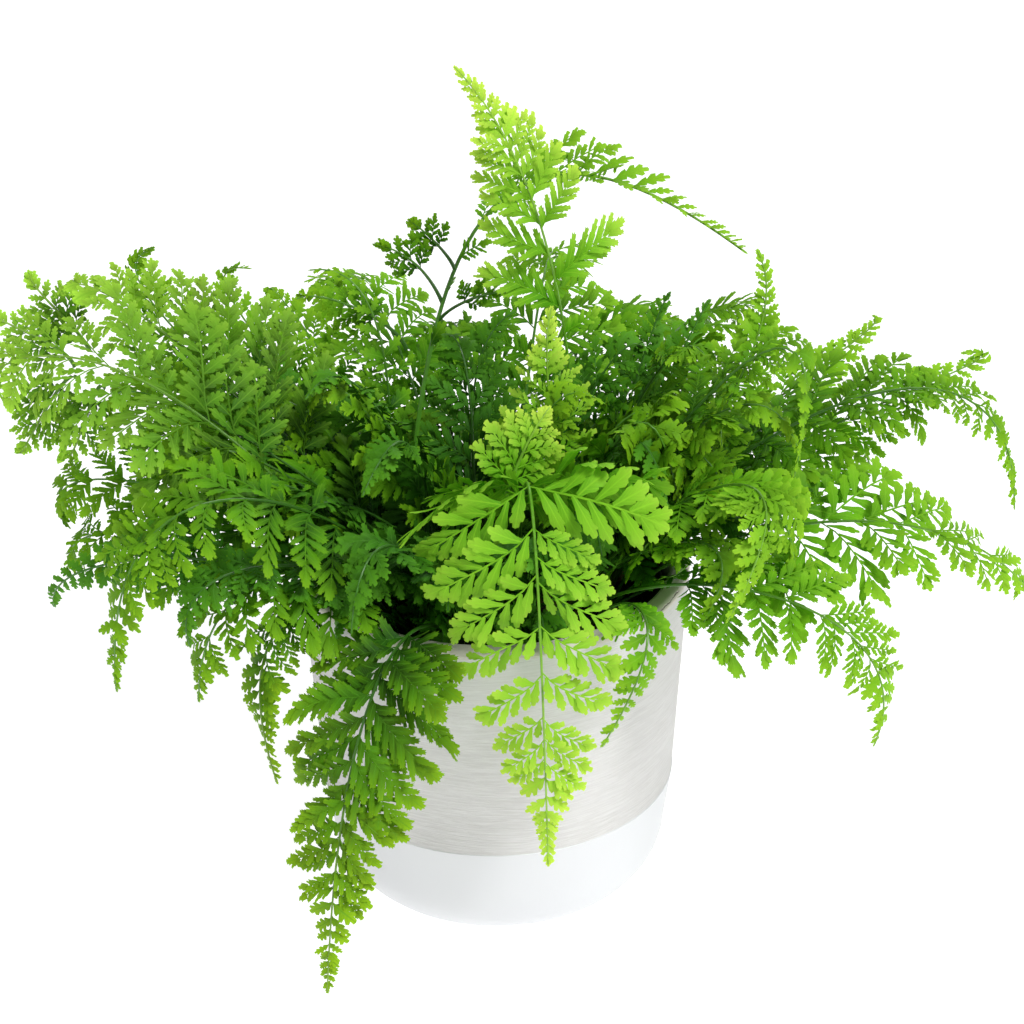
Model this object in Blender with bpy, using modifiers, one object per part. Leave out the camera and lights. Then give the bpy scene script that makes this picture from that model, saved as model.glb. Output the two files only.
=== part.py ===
"""Bear's foot fern in a two-tone ceramic pot, modelled at its real size.

The frame stands at the centre of the pot's flat base with +Z up, and -Y is the front.
Sizes are named in millimetres and placed in metres.

Each frond is one thin arched sheet: a stipe that widens into a rib, with pinnae cut back
to that rib. Fronds are placed one after another, and each is turned until it clears
those before it, so that no leaf runs through its neighbour.
"""
import math
from dataclasses import dataclass

import bmesh
import bpy
import numpy as np
from mathutils.bvhtree import BVHTree

MM = 0.001

POT_HEIGHT = 137.0
POT_TOP_RADIUS = 75.0
POT_FOOT_RADIUS = 67.0
POT_WALL = 8.0
POT_FOOT_ROUND = 25.0
POT_BAND_HEIGHT = 47.0
POT_BAND_STEP = 0.3
RIM_ROUND = 2.5
POT_SEGMENTS = 40
ARC_STEPS = 3

GAP = 0.3

GROW_POT_TOP = 128.0
GROW_POT_TOP_RADIUS = 65.0
GROW_POT_FOOT_RADIUS = 40.0
GROW_POT_WALL = 1.2
GROW_POT_SEGMENTS = 36

SOIL_TOP = 112.0
SOIL_CROWN = 3.0
SOIL_SEGMENTS = 30

HOLE_RADIUS = 1.9
HOLE_DEPTH = 10.0
HOLE_SIDES = 5

RHIZOME_RADIUS = 3.4
RHIZOME_BEVEL = 1
RHIZOME_RING = 54.0
RHIZOME_WAVE = 2.0
RHIZOME_POINTS = 12
RHIZOME_WAVES = 3
RHIZOMES = ((20, 95), (135, 228), (262, 338))

STIPE_WIDTH = 1.7
STIPE_THICKNESS = 1.6
RIB_END_WIDTH = 0.7
BLADE_THICKNESS = 0.7
STIPE_STEPS = 4
ARCH = 0.16
RISE = 0.55
LEAN = 0.35
CURVE_SAMPLES = 64
BLADE_END = 0.96
ROOT_CROWDING = 1.25
PINNA_ANGLE = 66.0
PINNA_CLOSING = 22.0
FIRST_PINNA = 0.8
SHOULDER_SHARE = 0.15
TAPER = 0.85
BULGE_AT = 0.42
BULGE = 0.55
RIB = -1
PEG_POINTS = 4
CLEARANCE = 0.25
FLOOR_CLEARANCE = 2.0

TURN_STEPS = (0, -3, 3, -6, 6, -9, 9, -12, 12)
LIFT_STEPS = (0, 3, -3, 6, -6, 9)
TWIST_STEPS = (0, 12, -12, 24, -24, 36, -36)
LIFT_COST = 1.2
TWIST_COST = 0.3

TONES = {
    "bright": (0.30, 0.62, 0.06),
    "fresh": (0.18, 0.50, 0.05),
    "mid": (0.08, 0.34, 0.04),
    "dark": (0.03, 0.19, 0.05),
}


@dataclass(frozen=True)
class Frond:
    """One frond, in millimetres and degrees.

    root is its azimuth and radius on the soil, middle the point halfway along its curve,
    bare the share of the length that carries no pinnae, facing the azimuth that the
    blade's upper side would turn to if the frond stood upright, and roll a turn about
    its own rachis.
    """

    name: str
    root: tuple
    middle: tuple
    tip: tuple
    width: float
    bare: float
    facing: float
    roll: float
    pairs: int
    tone: str


FRONDS = [
    Frond("tall_1", (25, 27), (27, 14, 226), (-11, 25, 321), 78, 0.48, -90, 0, 11, "bright"),
    Frond("tall_2", (190, 38), (-14, 50, 236), (95, 30, 249), 70, 0.36, 180, -12, 11, "mid"),
    Frond("tall_3", (172, 43), (-40, 26, 196), (-68, 40, 240), 40, 0.50, -60, 0, 8, "mid"),
    Frond("tall_4", (0, 17), (22, 0, 182), (22, 0, 238), 44, 0.50, -90, 0, 8, "fresh"),
    Frond("front_1", (250, 40), (-34, -90, 148), (-60, -134, 36), 80, 0.28, 70, 0, 11, "mid"),
    Frond("front_2", (305, 14), (12, -58, 196), (18, -121, 80), 112, 0.26, 84, 0, 11, "bright"),
    Frond("front_3", (318, 44), (50, -76, 156), (38, -96, 112), 34, 0.40, 110, 0, 8, "fresh"),
    Frond("left_12", (236, 44), (-62, -72, 156), (-79, -86, 92), 36, 0.44, 50, 0, 9, "mid"),
    Frond("left_11", (224, 42), (-68, -66, 164), (-104, -88, 128), 84, 0.30, 40, 5, 9, "mid"),
    Frond("right_1", (2, 42), (82, 0, 190), (98, 8, 256), 42, 0.50, -90, 0, 10, "fresh"),
    Frond("right_2", (20, 40), (102, 26, 184), (148, 40, 218), 66, 0.34, -115, 0, 9, "fresh"),
    Frond("right_3", (10, 35), (130, 12, 190), (177, 20, 214), 64, 0.36, -130, 0, 9, "fresh"),
    Frond("right_4", (353, 38), (120, -12, 202), (190, -32, 176), 76, 0.34, 178, -25, 10, "fresh"),
    Frond("right_5", (335, 42), (108, -48, 178), (192, -64, 156), 100, 0.32, 165, -20, 11, "bright"),
    Frond("right_6", (322, 36), (98, -66, 164), (137, -92, 112), 66, 0.36, 150, -15, 10, "fresh"),
    Frond("right_7", (340, 32), (84, -46, 182), (80, -100, 164), 66, 0.36, 130, 0, 9, "bright"),
    Frond("right_8", (350, 28), (100, -4, 206), (107, -44, 186), 52, 0.40, 140, 0, 8, "mid"),
    Frond("right_9", (5, 24), (64, 6, 198), (92, -34, 184), 66, 0.30, 150, 0, 9, "mid"),
    Frond("right_10", (330, 22), (54, -14, 178), (72, -44, 172), 62, 0.24, 150, 0, 8, "dark"),
    Frond("right_11", (328, 30), (70, -44, 164), (84, -76, 148), 50, 0.34, 140, 0, 8, "mid"),
    Frond("right_12", (345, 44), (84, -40, 168), (112, -74, 150), 56, 0.30, 150, 0, 8, "mid"),
    Frond("dark_1", (110, 25), (-9, 45, 172), (8, 62, 213), 66, 0.24, -90, 0, 9, "dark"),
    Frond("dark_2", (30, 36), (52, 28, 182), (67, 30, 232), 50, 0.34, -90, 0, 9, "dark"),
    Frond("dark_3", (35, 43), (64, 36, 180), (86, 44, 221), 60, 0.24, -85, 0, 8, "dark"),
    Frond("left_1", (165, 36), (-100, 16, 212), (-162, 22, 238), 104, 0.36, -35, 15, 11, "bright"),
    Frond("left_2", (186, 44), (-108, -20, 216), (-192, -24, 212), 110, 0.36, 8, 25, 11, "bright"),
    Frond("left_3", (155, 40), (-104, 42, 194), (-130, 50, 246), 72, 0.40, -90, 0, 10, "fresh"),
    Frond("left_4", (140, 38), (-84, 62, 190), (-96, 70, 230), 46, 0.44, -85, 0, 8, "fresh"),
    Frond("left_5", (128, 42), (-66, 74, 186), (-92, 96, 209), 66, 0.32, -60, 0, 9, "mid"),
    Frond("left_6", (195, 32), (-98, -34, 192), (-150, -34, 176), 84, 0.34, 5, 20, 10, "mid"),
    Frond("left_7", (203, 42), (-96, -48, 178), (-146, -50, 158), 76, 0.34, 10, 20, 9, "mid"),
    Frond("left_8", (212, 44), (-98, -62, 166), (-156, -64, 146), 40, 0.40, 15, 60, 9, "dark"),
    Frond("left_9", (205, 26), (-84, -62, 194), (-134, -98, 142), 84, 0.32, 30, 10, 11, "bright"),
    Frond("left_10", (218, 34), (-74, -66, 170), (-108, -94, 156), 66, 0.34, 40, 10, 8, "dark"),
    Frond("left_13", (178, 28), (-74, 24, 192), (-120, 30, 204), 86, 0.28, -20, 10, 9, "dark"),
    Frond("left_14", (180, 20), (-88, 0, 196), (-142, 2, 200), 84, 0.28, 0, 10, 9, "mid"),
    Frond("centre_1", (215, 18), (-26, -14, 178), (-46, -44, 186), 74, 0.24, 40, 0, 9, "dark"),
    Frond("centre_2", (230, 30), (-42, -46, 152), (-62, -70, 146), 66, 0.22, 50, 0, 8, "dark"),
    Frond("centre_3", (150, 18), (-44, 6, 182), (-84, -6, 200), 80, 0.24, 10, 0, 9, "dark"),
    Frond("centre_4", (120, 14), (-14, 28, 184), (-30, 46, 206), 72, 0.24, -80, 0, 9, "dark"),
    Frond("centre_5", (60, 22), (42, 24, 188), (72, 24, 206), 76, 0.24, -130, 0, 9, "dark"),
    Frond("centre_6", (270, 24), (-8, -34, 156), (-30, -58, 158), 56, 0.24, 80, 0, 8, "dark"),
    Frond("centre_7", (200, 14), (-44, -28, 160), (-82, -48, 156), 60, 0.24, 30, 0, 8, "dark"),
    Frond("centre_8", (345, 16), (56, -10, 168), (98, -22, 170), 70, 0.24, 165, 0, 8, "dark"),
    Frond("centre_9", (75, 12), (28, 10, 180), (56, -2, 198), 64, 0.24, 190, 0, 8, "mid"),
    Frond("right_13", (308, 40), (62, -30, 160), (96, -60, 158), 64, 0.28, 160, 0, 8, "mid"),
    Frond("back_1", (48, 40), (78, 66, 190), (122, 108, 166), 80, 0.32, 222, 0, 9, "mid"),
    Frond("back_2", (62, 42), (54, 92, 184), (84, 152, 148), 84, 0.32, 242, 0, 10, "mid"),
    Frond("back_3", (80, 36), (18, 92, 200), (30, 168, 176), 88, 0.32, 260, 0, 10, "fresh"),
    Frond("back_4", (96, 42), (-12, 96, 180), (-26, 158, 134), 80, 0.32, 280, 0, 10, "mid"),
    Frond("back_5", (112, 38), (-46, 90, 192), (-82, 148, 168), 84, 0.32, 300, 0, 10, "fresh"),
    Frond("back_6", (142, 44), (-78, 58, 174), (-134, 98, 146), 78, 0.32, 325, 0, 9, "mid"),
    Frond("back_7", (26, 44), (92, 46, 172), (154, 72, 148), 76, 0.32, 205, 0, 9, "mid"),
    Frond("back_8", (84, 44), (6, 84, 158), (8, 112, 92), 66, 0.32, 265, 0, 8, "dark"),
]


def remove_everything():
    """Remove the objects that the file opened with."""
    for item in list(bpy.data.objects):
        bpy.data.objects.remove(item, do_unlink=True)


def collection(name):
    """Return a new collection linked to the scene."""
    made = bpy.data.collections.new(name)
    bpy.context.scene.collection.children.link(made)
    return made


def principled(name, colour, roughness):
    """Return a plain Principled material."""
    material = bpy.data.materials.new(name)
    material.use_nodes = True
    shader = material.node_tree.nodes["Principled BSDF"]
    shader.inputs["Base Color"].default_value = (*colour, 1.0)
    shader.inputs["Roughness"].default_value = roughness
    return material


def object_from_bmesh(name, mesh_source, target, material=None):
    """Turn a bmesh into an object of the target collection and free it."""
    mesh = bpy.data.meshes.new(name)
    mesh_source.to_mesh(mesh)
    mesh_source.free()
    made = bpy.data.objects.new(name, mesh)
    if material:
        mesh.materials.append(material)
    target.objects.link(made)
    return made


def turned(name, profile, segments, target, material):
    """Turn an open profile of (radius, height) in mm about Z with a Screw modifier."""
    source = bmesh.new()
    verts = [source.verts.new((radius * MM, 0.0, height * MM)) for radius, height in profile]
    for start, end in zip(verts, verts[1:]):
        source.edges.new((start, end))
    made = object_from_bmesh(name, source, target, material)
    screw = made.modifiers.new("Turn", "SCREW")
    screw.steps = segments
    screw.render_steps = segments
    screw.use_merge_vertices = True
    screw.merge_threshold = 0.0001
    return made


def arc(centre, radius, start, end):
    """Points of a quarter round, in mm, from start to end degrees."""
    angles = np.radians(np.linspace(start, end, ARC_STEPS + 1))
    return [(centre[0] + radius * math.cos(a), centre[1] + radius * math.sin(a)) for a in angles]


def wall_radius(height):
    """Outer radius of the ceramic pot's straight side at a height in mm."""
    return POT_FOOT_RADIUS + (POT_TOP_RADIUS - POT_FOOT_RADIUS) * height / POT_HEIGHT


def grow_radius(height):
    """Outer radius of the inner plastic pot at a height in mm."""
    share = (height - POT_WALL) / (GROW_POT_TOP - POT_WALL)
    return GROW_POT_FOOT_RADIUS + (GROW_POT_TOP_RADIUS - GROW_POT_FOOT_RADIUS) * share


def make_pot(target):
    """Ceramic pot: rounded foot, plain band with a hairline step, soft round rim."""
    inner_round = POT_FOOT_ROUND - POT_WALL
    inner_foot = POT_FOOT_RADIUS - POT_WALL
    top = POT_HEIGHT - RIM_ROUND
    outer_foot_centre = (POT_FOOT_RADIUS - POT_FOOT_ROUND, POT_FOOT_ROUND)
    profile = [(0.0, POT_WALL)]
    profile += arc((inner_foot - inner_round, POT_FOOT_ROUND), inner_round, -90, 0)
    profile += arc((POT_TOP_RADIUS - POT_WALL + RIM_ROUND, top), RIM_ROUND, 180, 90)
    profile += arc((POT_TOP_RADIUS - RIM_ROUND, top), RIM_ROUND, 90, 0)
    profile += [
        (wall_radius(POT_BAND_HEIGHT), POT_BAND_HEIGHT),
        (wall_radius(POT_BAND_HEIGHT) + POT_BAND_STEP, POT_BAND_HEIGHT - POT_BAND_STEP),
    ]
    profile += arc(outer_foot_centre, POT_FOOT_ROUND, 0, -90)
    profile += [(0.0, 0.0)]
    return turned("pot", profile, POT_SEGMENTS, target, principled("pot", (0.77, 0.75, 0.70), 0.7))


def make_grow_pot(target):
    """Thin black plastic pot that stands inside the ceramic one."""
    floor = POT_WALL + GAP
    profile = [
        (0.0, floor + GROW_POT_WALL),
        (grow_radius(floor) - GROW_POT_WALL, floor + GROW_POT_WALL),
        (GROW_POT_TOP_RADIUS - GROW_POT_WALL, GROW_POT_TOP),
        (GROW_POT_TOP_RADIUS, GROW_POT_TOP),
        (grow_radius(floor), floor),
        (0.0, floor),
    ]
    material = principled("grow_pot", (0.012, 0.012, 0.013), 0.5)
    return turned("grow_pot", profile, GROW_POT_SEGMENTS, target, material)


def soil_height(radius):
    """Height of the slightly crowned potting mix at a radius in mm."""
    edge = grow_radius(SOIL_TOP) - GROW_POT_WALL - GAP
    return SOIL_TOP + SOIL_CROWN * (1.0 - (radius / edge) ** 2)


def make_soil(target, cutter_group):
    """Potting mix with one plain hole for each stipe."""
    edge = grow_radius(SOIL_TOP) - GROW_POT_WALL - 2 * GAP
    floor = POT_WALL + 2 * GAP + GROW_POT_WALL
    foot = grow_radius(floor) - GROW_POT_WALL - 2 * GAP
    top = [(edge * share, soil_height(edge * share)) for share in (0.0, 0.5, 1.0)]
    profile = top + [(foot, floor), (0.0, floor)]
    soil = turned("soil", profile, SOIL_SEGMENTS, target, principled("soil", (0.03, 0.02, 0.013), 1.0))
    cutters = bmesh.new()
    for frond in FRONDS:
        hole = bmesh.ops.create_cone(
            cutters, cap_ends=True, segments=HOLE_SIDES, radius1=HOLE_RADIUS * MM,
            radius2=HOLE_RADIUS * MM, depth=2 * HOLE_DEPTH * MM)
        bmesh.ops.translate(cutters, verts=hole["verts"], vec=ground_point(frond) * MM)
    cutter = object_from_bmesh("stipe_holes", cutters, cutter_group)
    cutter.hide_render = True
    cutter.display_type = "WIRE"
    cut = soil.modifiers.new("Stipe holes", "BOOLEAN")
    cut.operation = "DIFFERENCE"
    cut.object = cutter
    return soil


def make_rhizome(name, start, end, target):
    """A furry creeping rhizome that lies on the potting mix, as a tube along an arc."""
    curve = bpy.data.curves.new(name, "CURVE")
    curve.dimensions = "3D"
    curve.bevel_depth = RHIZOME_RADIUS * MM
    curve.bevel_resolution = RHIZOME_BEVEL
    curve.use_fill_caps = True
    spline = curve.splines.new("POLY")
    spline.points.add(RHIZOME_POINTS - 1)
    flat_side = RHIZOME_RADIUS * math.cos(math.pi / (4 + 2 * RHIZOME_BEVEL))
    for index, point in enumerate(spline.points):
        share = index / (RHIZOME_POINTS - 1)
        azimuth = math.radians(start + (end - start) * share)
        radius = RHIZOME_RING + RHIZOME_WAVE * math.sin(RHIZOME_WAVES * math.pi * share)
        height = soil_height(radius) + flat_side + GAP
        place = (radius * math.cos(azimuth), radius * math.sin(azimuth), height)
        point.co = (*(MM * value for value in place), 1.0)
    made = bpy.data.objects.new(name, curve)
    curve.materials.append(principled(name, (0.20, 0.12, 0.06), 0.95))
    target.objects.link(made)
    return made


def unit(vector):
    """Scale a vector to length 1."""
    return vector / np.linalg.norm(vector)


def ground_point(frond):
    """Where the stipe leaves the potting mix, in mm."""
    azimuth = math.radians(frond.root[0])
    radius = frond.root[1]
    return np.array([radius * math.cos(azimuth), radius * math.sin(azimuth), soil_height(radius)])


class Route:
    """Smooth curve of one frond from the soil to its tip, measured along its length."""

    def __init__(self, frond):
        root = ground_point(frond)
        middle = np.array(frond.middle, float)
        tip = np.array(frond.tip, float)
        reach = middle - root
        outward = unit(reach * (1, 1, 0)) if np.linalg.norm(reach[:2]) > 1 else np.zeros(3)
        rise = root + RISE * np.linalg.norm(reach) * unit(LEAN * outward + (0, 0, 1))
        pull = (8 * middle - root - 3 * rise - tip) / 3
        t = np.linspace(0, 1, CURVE_SAMPLES + 1)[:, None]
        self.points = ((1 - t) ** 3 * root + 3 * (1 - t) ** 2 * t * rise
                       + 3 * (1 - t) * t ** 2 * pull + t ** 3 * tip)
        steps = np.linalg.norm(np.diff(self.points, axis=0), axis=1)
        self.lengths = np.concatenate([[0.0], np.cumsum(steps)])
        self.length = self.lengths[-1]
        self.roll = math.radians(frond.roll)
        self.bare = frond.bare
        facing = math.radians(frond.facing)
        self.level_side = np.cross((0, 0, 1), (math.cos(facing), math.sin(facing), 0))

    def at(self, distance):
        """Point at a distance in mm, going straight on past the tip."""
        inside = min(distance, self.length)
        point = np.array([np.interp(inside, self.lengths, axis) for axis in self.points.T])
        if distance > self.length:
            point = point + (distance - self.length) * unit(self.points[-1] - self.points[-2])
        return point

    def frame(self, distance):
        """Unit side and upper-face vectors at a distance in mm."""
        here = min(max(distance, 1.0), self.length - 1.0)
        along = unit(self.at(here + 1.0) - self.at(here - 1.0))
        side = unit(self.level_side - along * (self.level_side @ along))
        face = np.cross(side, along)
        roll = self.roll * min(1.0, here / (self.bare * self.length))
        return (math.cos(roll) * side + math.sin(roll) * face,
                math.cos(roll) * face - math.sin(roll) * side)


def pinna_length(share, half_width):
    """Length of a pinna by its place on the blade: a deltoid that narrows to the tip."""
    shoulder = FIRST_PINNA + (1.0 - FIRST_PINNA) * min(1.0, share / SHOULDER_SHARE)
    return half_width * shoulder * (1.0 - share) ** TAPER


class Sheet:
    """The frond's middle surface: points, their upper-face vectors, and triangles."""

    def __init__(self, frond, dropped=()):
        self.frond = frond
        self.route = Route(frond)
        self.half_width = frond.width / 2
        self.points = []
        self.normals = []
        self.thick = []
        self.faces = []
        self.owners = []
        self.lay_out(dropped)
        self.points = np.array(self.points)
        self.normals = np.array(self.normals)
        self.thick = np.array(self.thick)

    def add(self, distance, across, thickness):
        """Add one point of the arched sheet and return its index."""
        side, face = self.route.frame(distance)
        sag = ARCH * across ** 2 / self.half_width
        self.points.append(self.route.at(distance) + across * side - sag * face)
        self.normals.append(face)
        self.thick.append(thickness)
        return len(self.points) - 1

    def add_faces(self, owner, *faces):
        """Add triangles that belong to one pinna, or to the rib as owner RIB."""
        self.faces += faces
        self.owners += [owner] * len(faces)

    def lay_out(self, dropped):
        """Lay out the stipe, the rib and the pinnae that are not dropped."""
        blade = self.frond.bare * self.route.length
        reach = BLADE_END * self.route.length - blade
        pairs = self.frond.pairs
        shares = [1.0 - (1.0 - step / pairs) ** ROOT_CROWDING for step in range(pairs + 1)]
        rings = [self.peg()]
        for step in range(STIPE_STEPS):
            rings.append(self.ring(blade * step / STIPE_STEPS, STIPE_WIDTH, STIPE_THICKNESS))
        for share in shares:
            width = STIPE_WIDTH + (RIB_END_WIDTH - STIPE_WIDTH) * share
            rings.append(self.ring(blade + reach * share, width, BLADE_THICKNESS))
        for low, high in zip(rings, rings[1:]):
            self.add_faces(RIB, (low[0], low[1], high[1]), (low[0], high[1], high[0]))
        roots = rings[STIPE_STEPS + 1:]
        for number in range(2 * pairs):
            pair, hand = divmod(number, 2)
            if number not in dropped:
                edge = (roots[pair][hand], roots[pair + 1][hand])
                span = (blade + reach * shares[pair], blade + reach * shares[pair + 1])
                self.add_pinna(number, edge, span, shares[pair])
        end = self.add(self.route.length, 0.0, BLADE_THICKNESS)
        self.add_faces(RIB, (roots[-1][0], roots[-1][1], end))

    def ring(self, distance, width, thickness):
        """The rib's two edge points at a distance along it."""
        return self.add(distance, -width / 2, thickness), self.add(distance, width / 2, thickness)

    def peg(self):
        """The two points at the stipe's foot, straight down in its hole."""
        foot = self.ring(0.0, STIPE_WIDTH, STIPE_THICKNESS)
        for index in foot:
            self.points[index] = self.points[index] - (0, 0, HOLE_DEPTH - GAP)
        return foot

    def add_pinna(self, number, edge, span, share):
        """Add one lance-shaped pinna between two points of the rib's edge."""
        hand = 1 if number % 2 else -1
        length = pinna_length(share, self.half_width)
        angle = math.radians(PINNA_ANGLE - PINNA_CLOSING * share)
        middle = 0.5 * (span[0] + span[1])
        width = (span[1] - span[0]) * math.sin(angle)

        def place(along, off):
            distance = middle + length * along * math.cos(angle) + off * math.sin(angle)
            across = length * along * math.sin(angle) - off * math.cos(angle)
            return self.add(distance, hand * max(across, STIPE_WIDTH), BLADE_THICKNESS)

        bulge = place(BULGE_AT, -BULGE * width)
        point = place(1.0, 0.0)
        faces = [(edge[0], bulge, edge[1]), (edge[1], bulge, point)]
        self.add_faces(number, *(faces if hand > 0 else [face[::-1] for face in faces]))

    def turned(self, pose):
        """Points and upper-face vectors with all above the soil turned about the root."""
        pivot = ground_point(self.frond)
        turn, lift, twist = pose
        chord = np.array(self.frond.tip, float) - pivot
        matrix = (rotation((0, 0, 1), turn) @ rotation(self.route.level_side, lift)
                  @ rotation(chord, twist))
        points = pivot + (self.points - pivot) @ matrix.T
        points[:PEG_POINTS] = self.points[:PEG_POINTS]
        return points, self.normals @ matrix.T

    def shell(self):
        """Triangles of the sheet's two faces and its border, with the owner of each."""
        count = len(self.points)
        faces = list(self.faces) + [tuple(index + count for index in face[::-1]) for face in self.faces]
        owners = list(self.owners) * 2
        edges = {}
        for face, owner in zip(self.faces, self.owners):
            for start, end in zip(face, face[1:] + face[:1]):
                edges[(start, end)] = owner
        for (start, end), owner in edges.items():
            if (end, start) not in edges:
                faces += [(end, start, start + count), (end, start + count, end + count)]
                owners += [owner] * 2
        return faces, owners

    def solid(self, pose, target, material):
        """Make the frond's object: the turned sheet, thickened by a Solidify modifier."""
        points, _ = self.turned(pose)
        mesh = bpy.data.meshes.new(self.frond.name)
        mesh.from_pydata((points * MM).tolist(), [], self.faces)
        mesh.materials.append(material)
        made = bpy.data.objects.new(self.frond.name, mesh)
        target.objects.link(made)
        group = made.vertex_groups.new(name="thickness")
        for index, thickness in enumerate(self.thick):
            group.add([index], float(thickness / STIPE_THICKNESS), "REPLACE")
        thicken = made.modifiers.new("Thickness", "SOLIDIFY")
        thicken.thickness = STIPE_THICKNESS * MM
        thicken.offset = 0.0
        thicken.vertex_group = group.name
        return made


def rotation(axis, degrees):
    """Rotation matrix about an axis."""
    axis = unit(np.array(axis, float))
    cross = np.array([[0, -axis[2], axis[1]], [axis[2], 0, -axis[0]], [-axis[1], axis[0], 0]])
    angle = math.radians(degrees)
    return np.eye(3) + math.sin(angle) * cross + (1 - math.cos(angle)) * cross @ cross


def poses():
    """Small turns in the order in which they are tried, the least first."""
    steps = [(turn, lift, twist) for turn in TURN_STEPS for lift in LIFT_STEPS for twist in TWIST_STEPS]
    costs = (1.0, LIFT_COST, TWIST_COST)
    return sorted(steps, key=lambda step: sum(cost * abs(angle) for cost, angle in zip(costs, step)))


class Placed:
    """Search trees of everything that is already in its place."""

    def __init__(self):
        self.trees = []

    def add(self, corners, faces):
        """Remember a closed mesh given in mm."""
        self.trees.append((BVHTree.FromPolygons(corners.tolist(), faces), corners.min(0), corners.max(0)))

    def add_object(self, made):
        """Remember an object's evaluated mesh."""
        graph = bpy.context.evaluated_depsgraph_get()
        mesh = made.evaluated_get(graph).to_mesh()
        corners = np.array([tuple(vert.co) for vert in mesh.vertices]) / MM
        self.add(corners, [tuple(face.vertices) for face in mesh.polygons])

    def crossings(self, corners, faces, owners):
        """Owners of the triangles of a mesh that run into a remembered one."""
        tree = BVHTree.FromPolygons(corners.tolist(), faces)
        low, high = corners.min(0), corners.max(0)
        found = set()
        for other, other_low, other_high in self.trees:
            if np.all(low <= other_high) and np.all(high >= other_low):
                found.update(owners[mine] for mine, _ in tree.overlap(other))
        return found


def padded(sheet, pose):
    """Corners of the turned sheet made as thick as its blade and its clearance."""
    points, normals = sheet.turned(pose)
    lift = normals * (0.5 * sheet.thick + CLEARANCE)[:, None]
    return np.concatenate([points + lift, points - lift])


def settle(frond, placed):
    """Return the frond's sheet and the least turn in which it clears what is placed.

    Where none does, it keeps the turn with the fewest crossing pinnae and goes without them.
    """
    sheet = Sheet(frond)
    faces, owners = sheet.shell()
    best = None
    for pose in poses():
        corners = padded(sheet, pose)
        if corners[:, 2].min() < FLOOR_CLEARANCE:
            continue
        found = placed.crossings(corners, faces, owners)
        if RIB not in found and (best is None or len(found) < len(best[1])):
            best = (pose, found, corners)
        if not found:
            break
    if best is None:
        raise RuntimeError(f"{frond.name} runs into something in every turn")
    pose, found, corners = best
    if found:
        sheet = Sheet(frond, found)
        faces, _ = sheet.shell()
        corners = padded(sheet, pose)
    placed.add(corners, faces)
    return sheet, pose


def main():
    """Build the whole plant in its pot."""
    remove_everything()
    plant = collection("bears_foot_fern")
    cutters = collection("cutters")
    placed = Placed()
    hard = [make_pot(plant), make_grow_pot(plant)]
    make_soil(plant, cutters)
    for number, (start, end) in enumerate(RHIZOMES, 1):
        hard.append(make_rhizome(f"rhizome_{number}", start, end, plant))
    bpy.context.view_layer.update()
    for made in hard:
        placed.add_object(made)
    for frond in FRONDS:
        sheet, pose = settle(frond, placed)
        sheet.solid(pose, plant, principled(frond.name, TONES[frond.tone], 0.5))


main()
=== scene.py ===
"""Bear's foot fern in a two-tone ceramic pot, dressed for a plain studio photograph.

Sizes are named in millimetres and placed in metres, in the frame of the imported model: the pot
stands on the origin with +Z up, and -Y is the front. Each CAD frond is a thin
arched sheet, and its finer piece follows that sheet with toothed leaflets on fine stalks.
"""

import logging
import math
from dataclasses import dataclass, replace
from enum import Enum

import bpy
import numpy as np
from mathutils import Matrix, Vector
from mathutils.kdtree import KDTree


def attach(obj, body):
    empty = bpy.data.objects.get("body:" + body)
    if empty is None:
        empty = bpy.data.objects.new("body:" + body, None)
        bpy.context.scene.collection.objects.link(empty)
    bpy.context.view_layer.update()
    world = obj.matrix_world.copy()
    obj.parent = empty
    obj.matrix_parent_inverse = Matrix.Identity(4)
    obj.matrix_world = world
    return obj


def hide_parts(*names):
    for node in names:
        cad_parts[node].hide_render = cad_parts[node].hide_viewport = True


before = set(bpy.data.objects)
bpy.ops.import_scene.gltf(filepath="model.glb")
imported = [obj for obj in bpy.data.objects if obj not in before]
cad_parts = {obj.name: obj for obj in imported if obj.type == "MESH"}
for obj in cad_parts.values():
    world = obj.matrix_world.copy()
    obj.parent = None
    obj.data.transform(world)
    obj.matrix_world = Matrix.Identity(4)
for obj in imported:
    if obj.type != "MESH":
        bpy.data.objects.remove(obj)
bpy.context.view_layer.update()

LOG = logging.getLogger("fern")
MM = 0.001
BODY = "root"
# Radius in mm of a turned piece's first and last disc, the degrees from which its edges stay
# crisp, and how near two places on a mould count as one.
HUB = 8.0
SHARP = 35.0
SAME_PLACE = 1e-4
Colour = tuple[float, float, float]
Point = tuple[float, float, float]


class Tone(Enum):
    """The greens of the plant, from sunlit new fronds to the shaded heart.

    The first four are the record's slots. PALE and DEEP are mixes for a few fronds that turn
    yellow-green only towards their ends.
    """

    BRIGHT = "bright"
    FRESH = "fresh"
    MID = "mid"
    DARK = "dark"
    PALE = "pale"
    DEEP = "deep"


@dataclass(frozen=True)
class Frond:
    """One frond as the CAD lays it out, in millimetres and degrees.

    root is its azimuth and radius on the soil, middle the point halfway along its curve, bare
    the share of the length that carries no pinnae, facing the azimuth that the blade's upper
    side would turn to if the frond stood upright, and roll a turn about its own stalk. A side
    spray has a start on another frond's stalk in place of a root.
    """

    name: str
    root: tuple[float, float]
    middle: Point
    tip: Point
    width: float
    bare: float
    facing: float
    roll: float
    pairs: int
    tone: Tone
    start: Point | None = None


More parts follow.
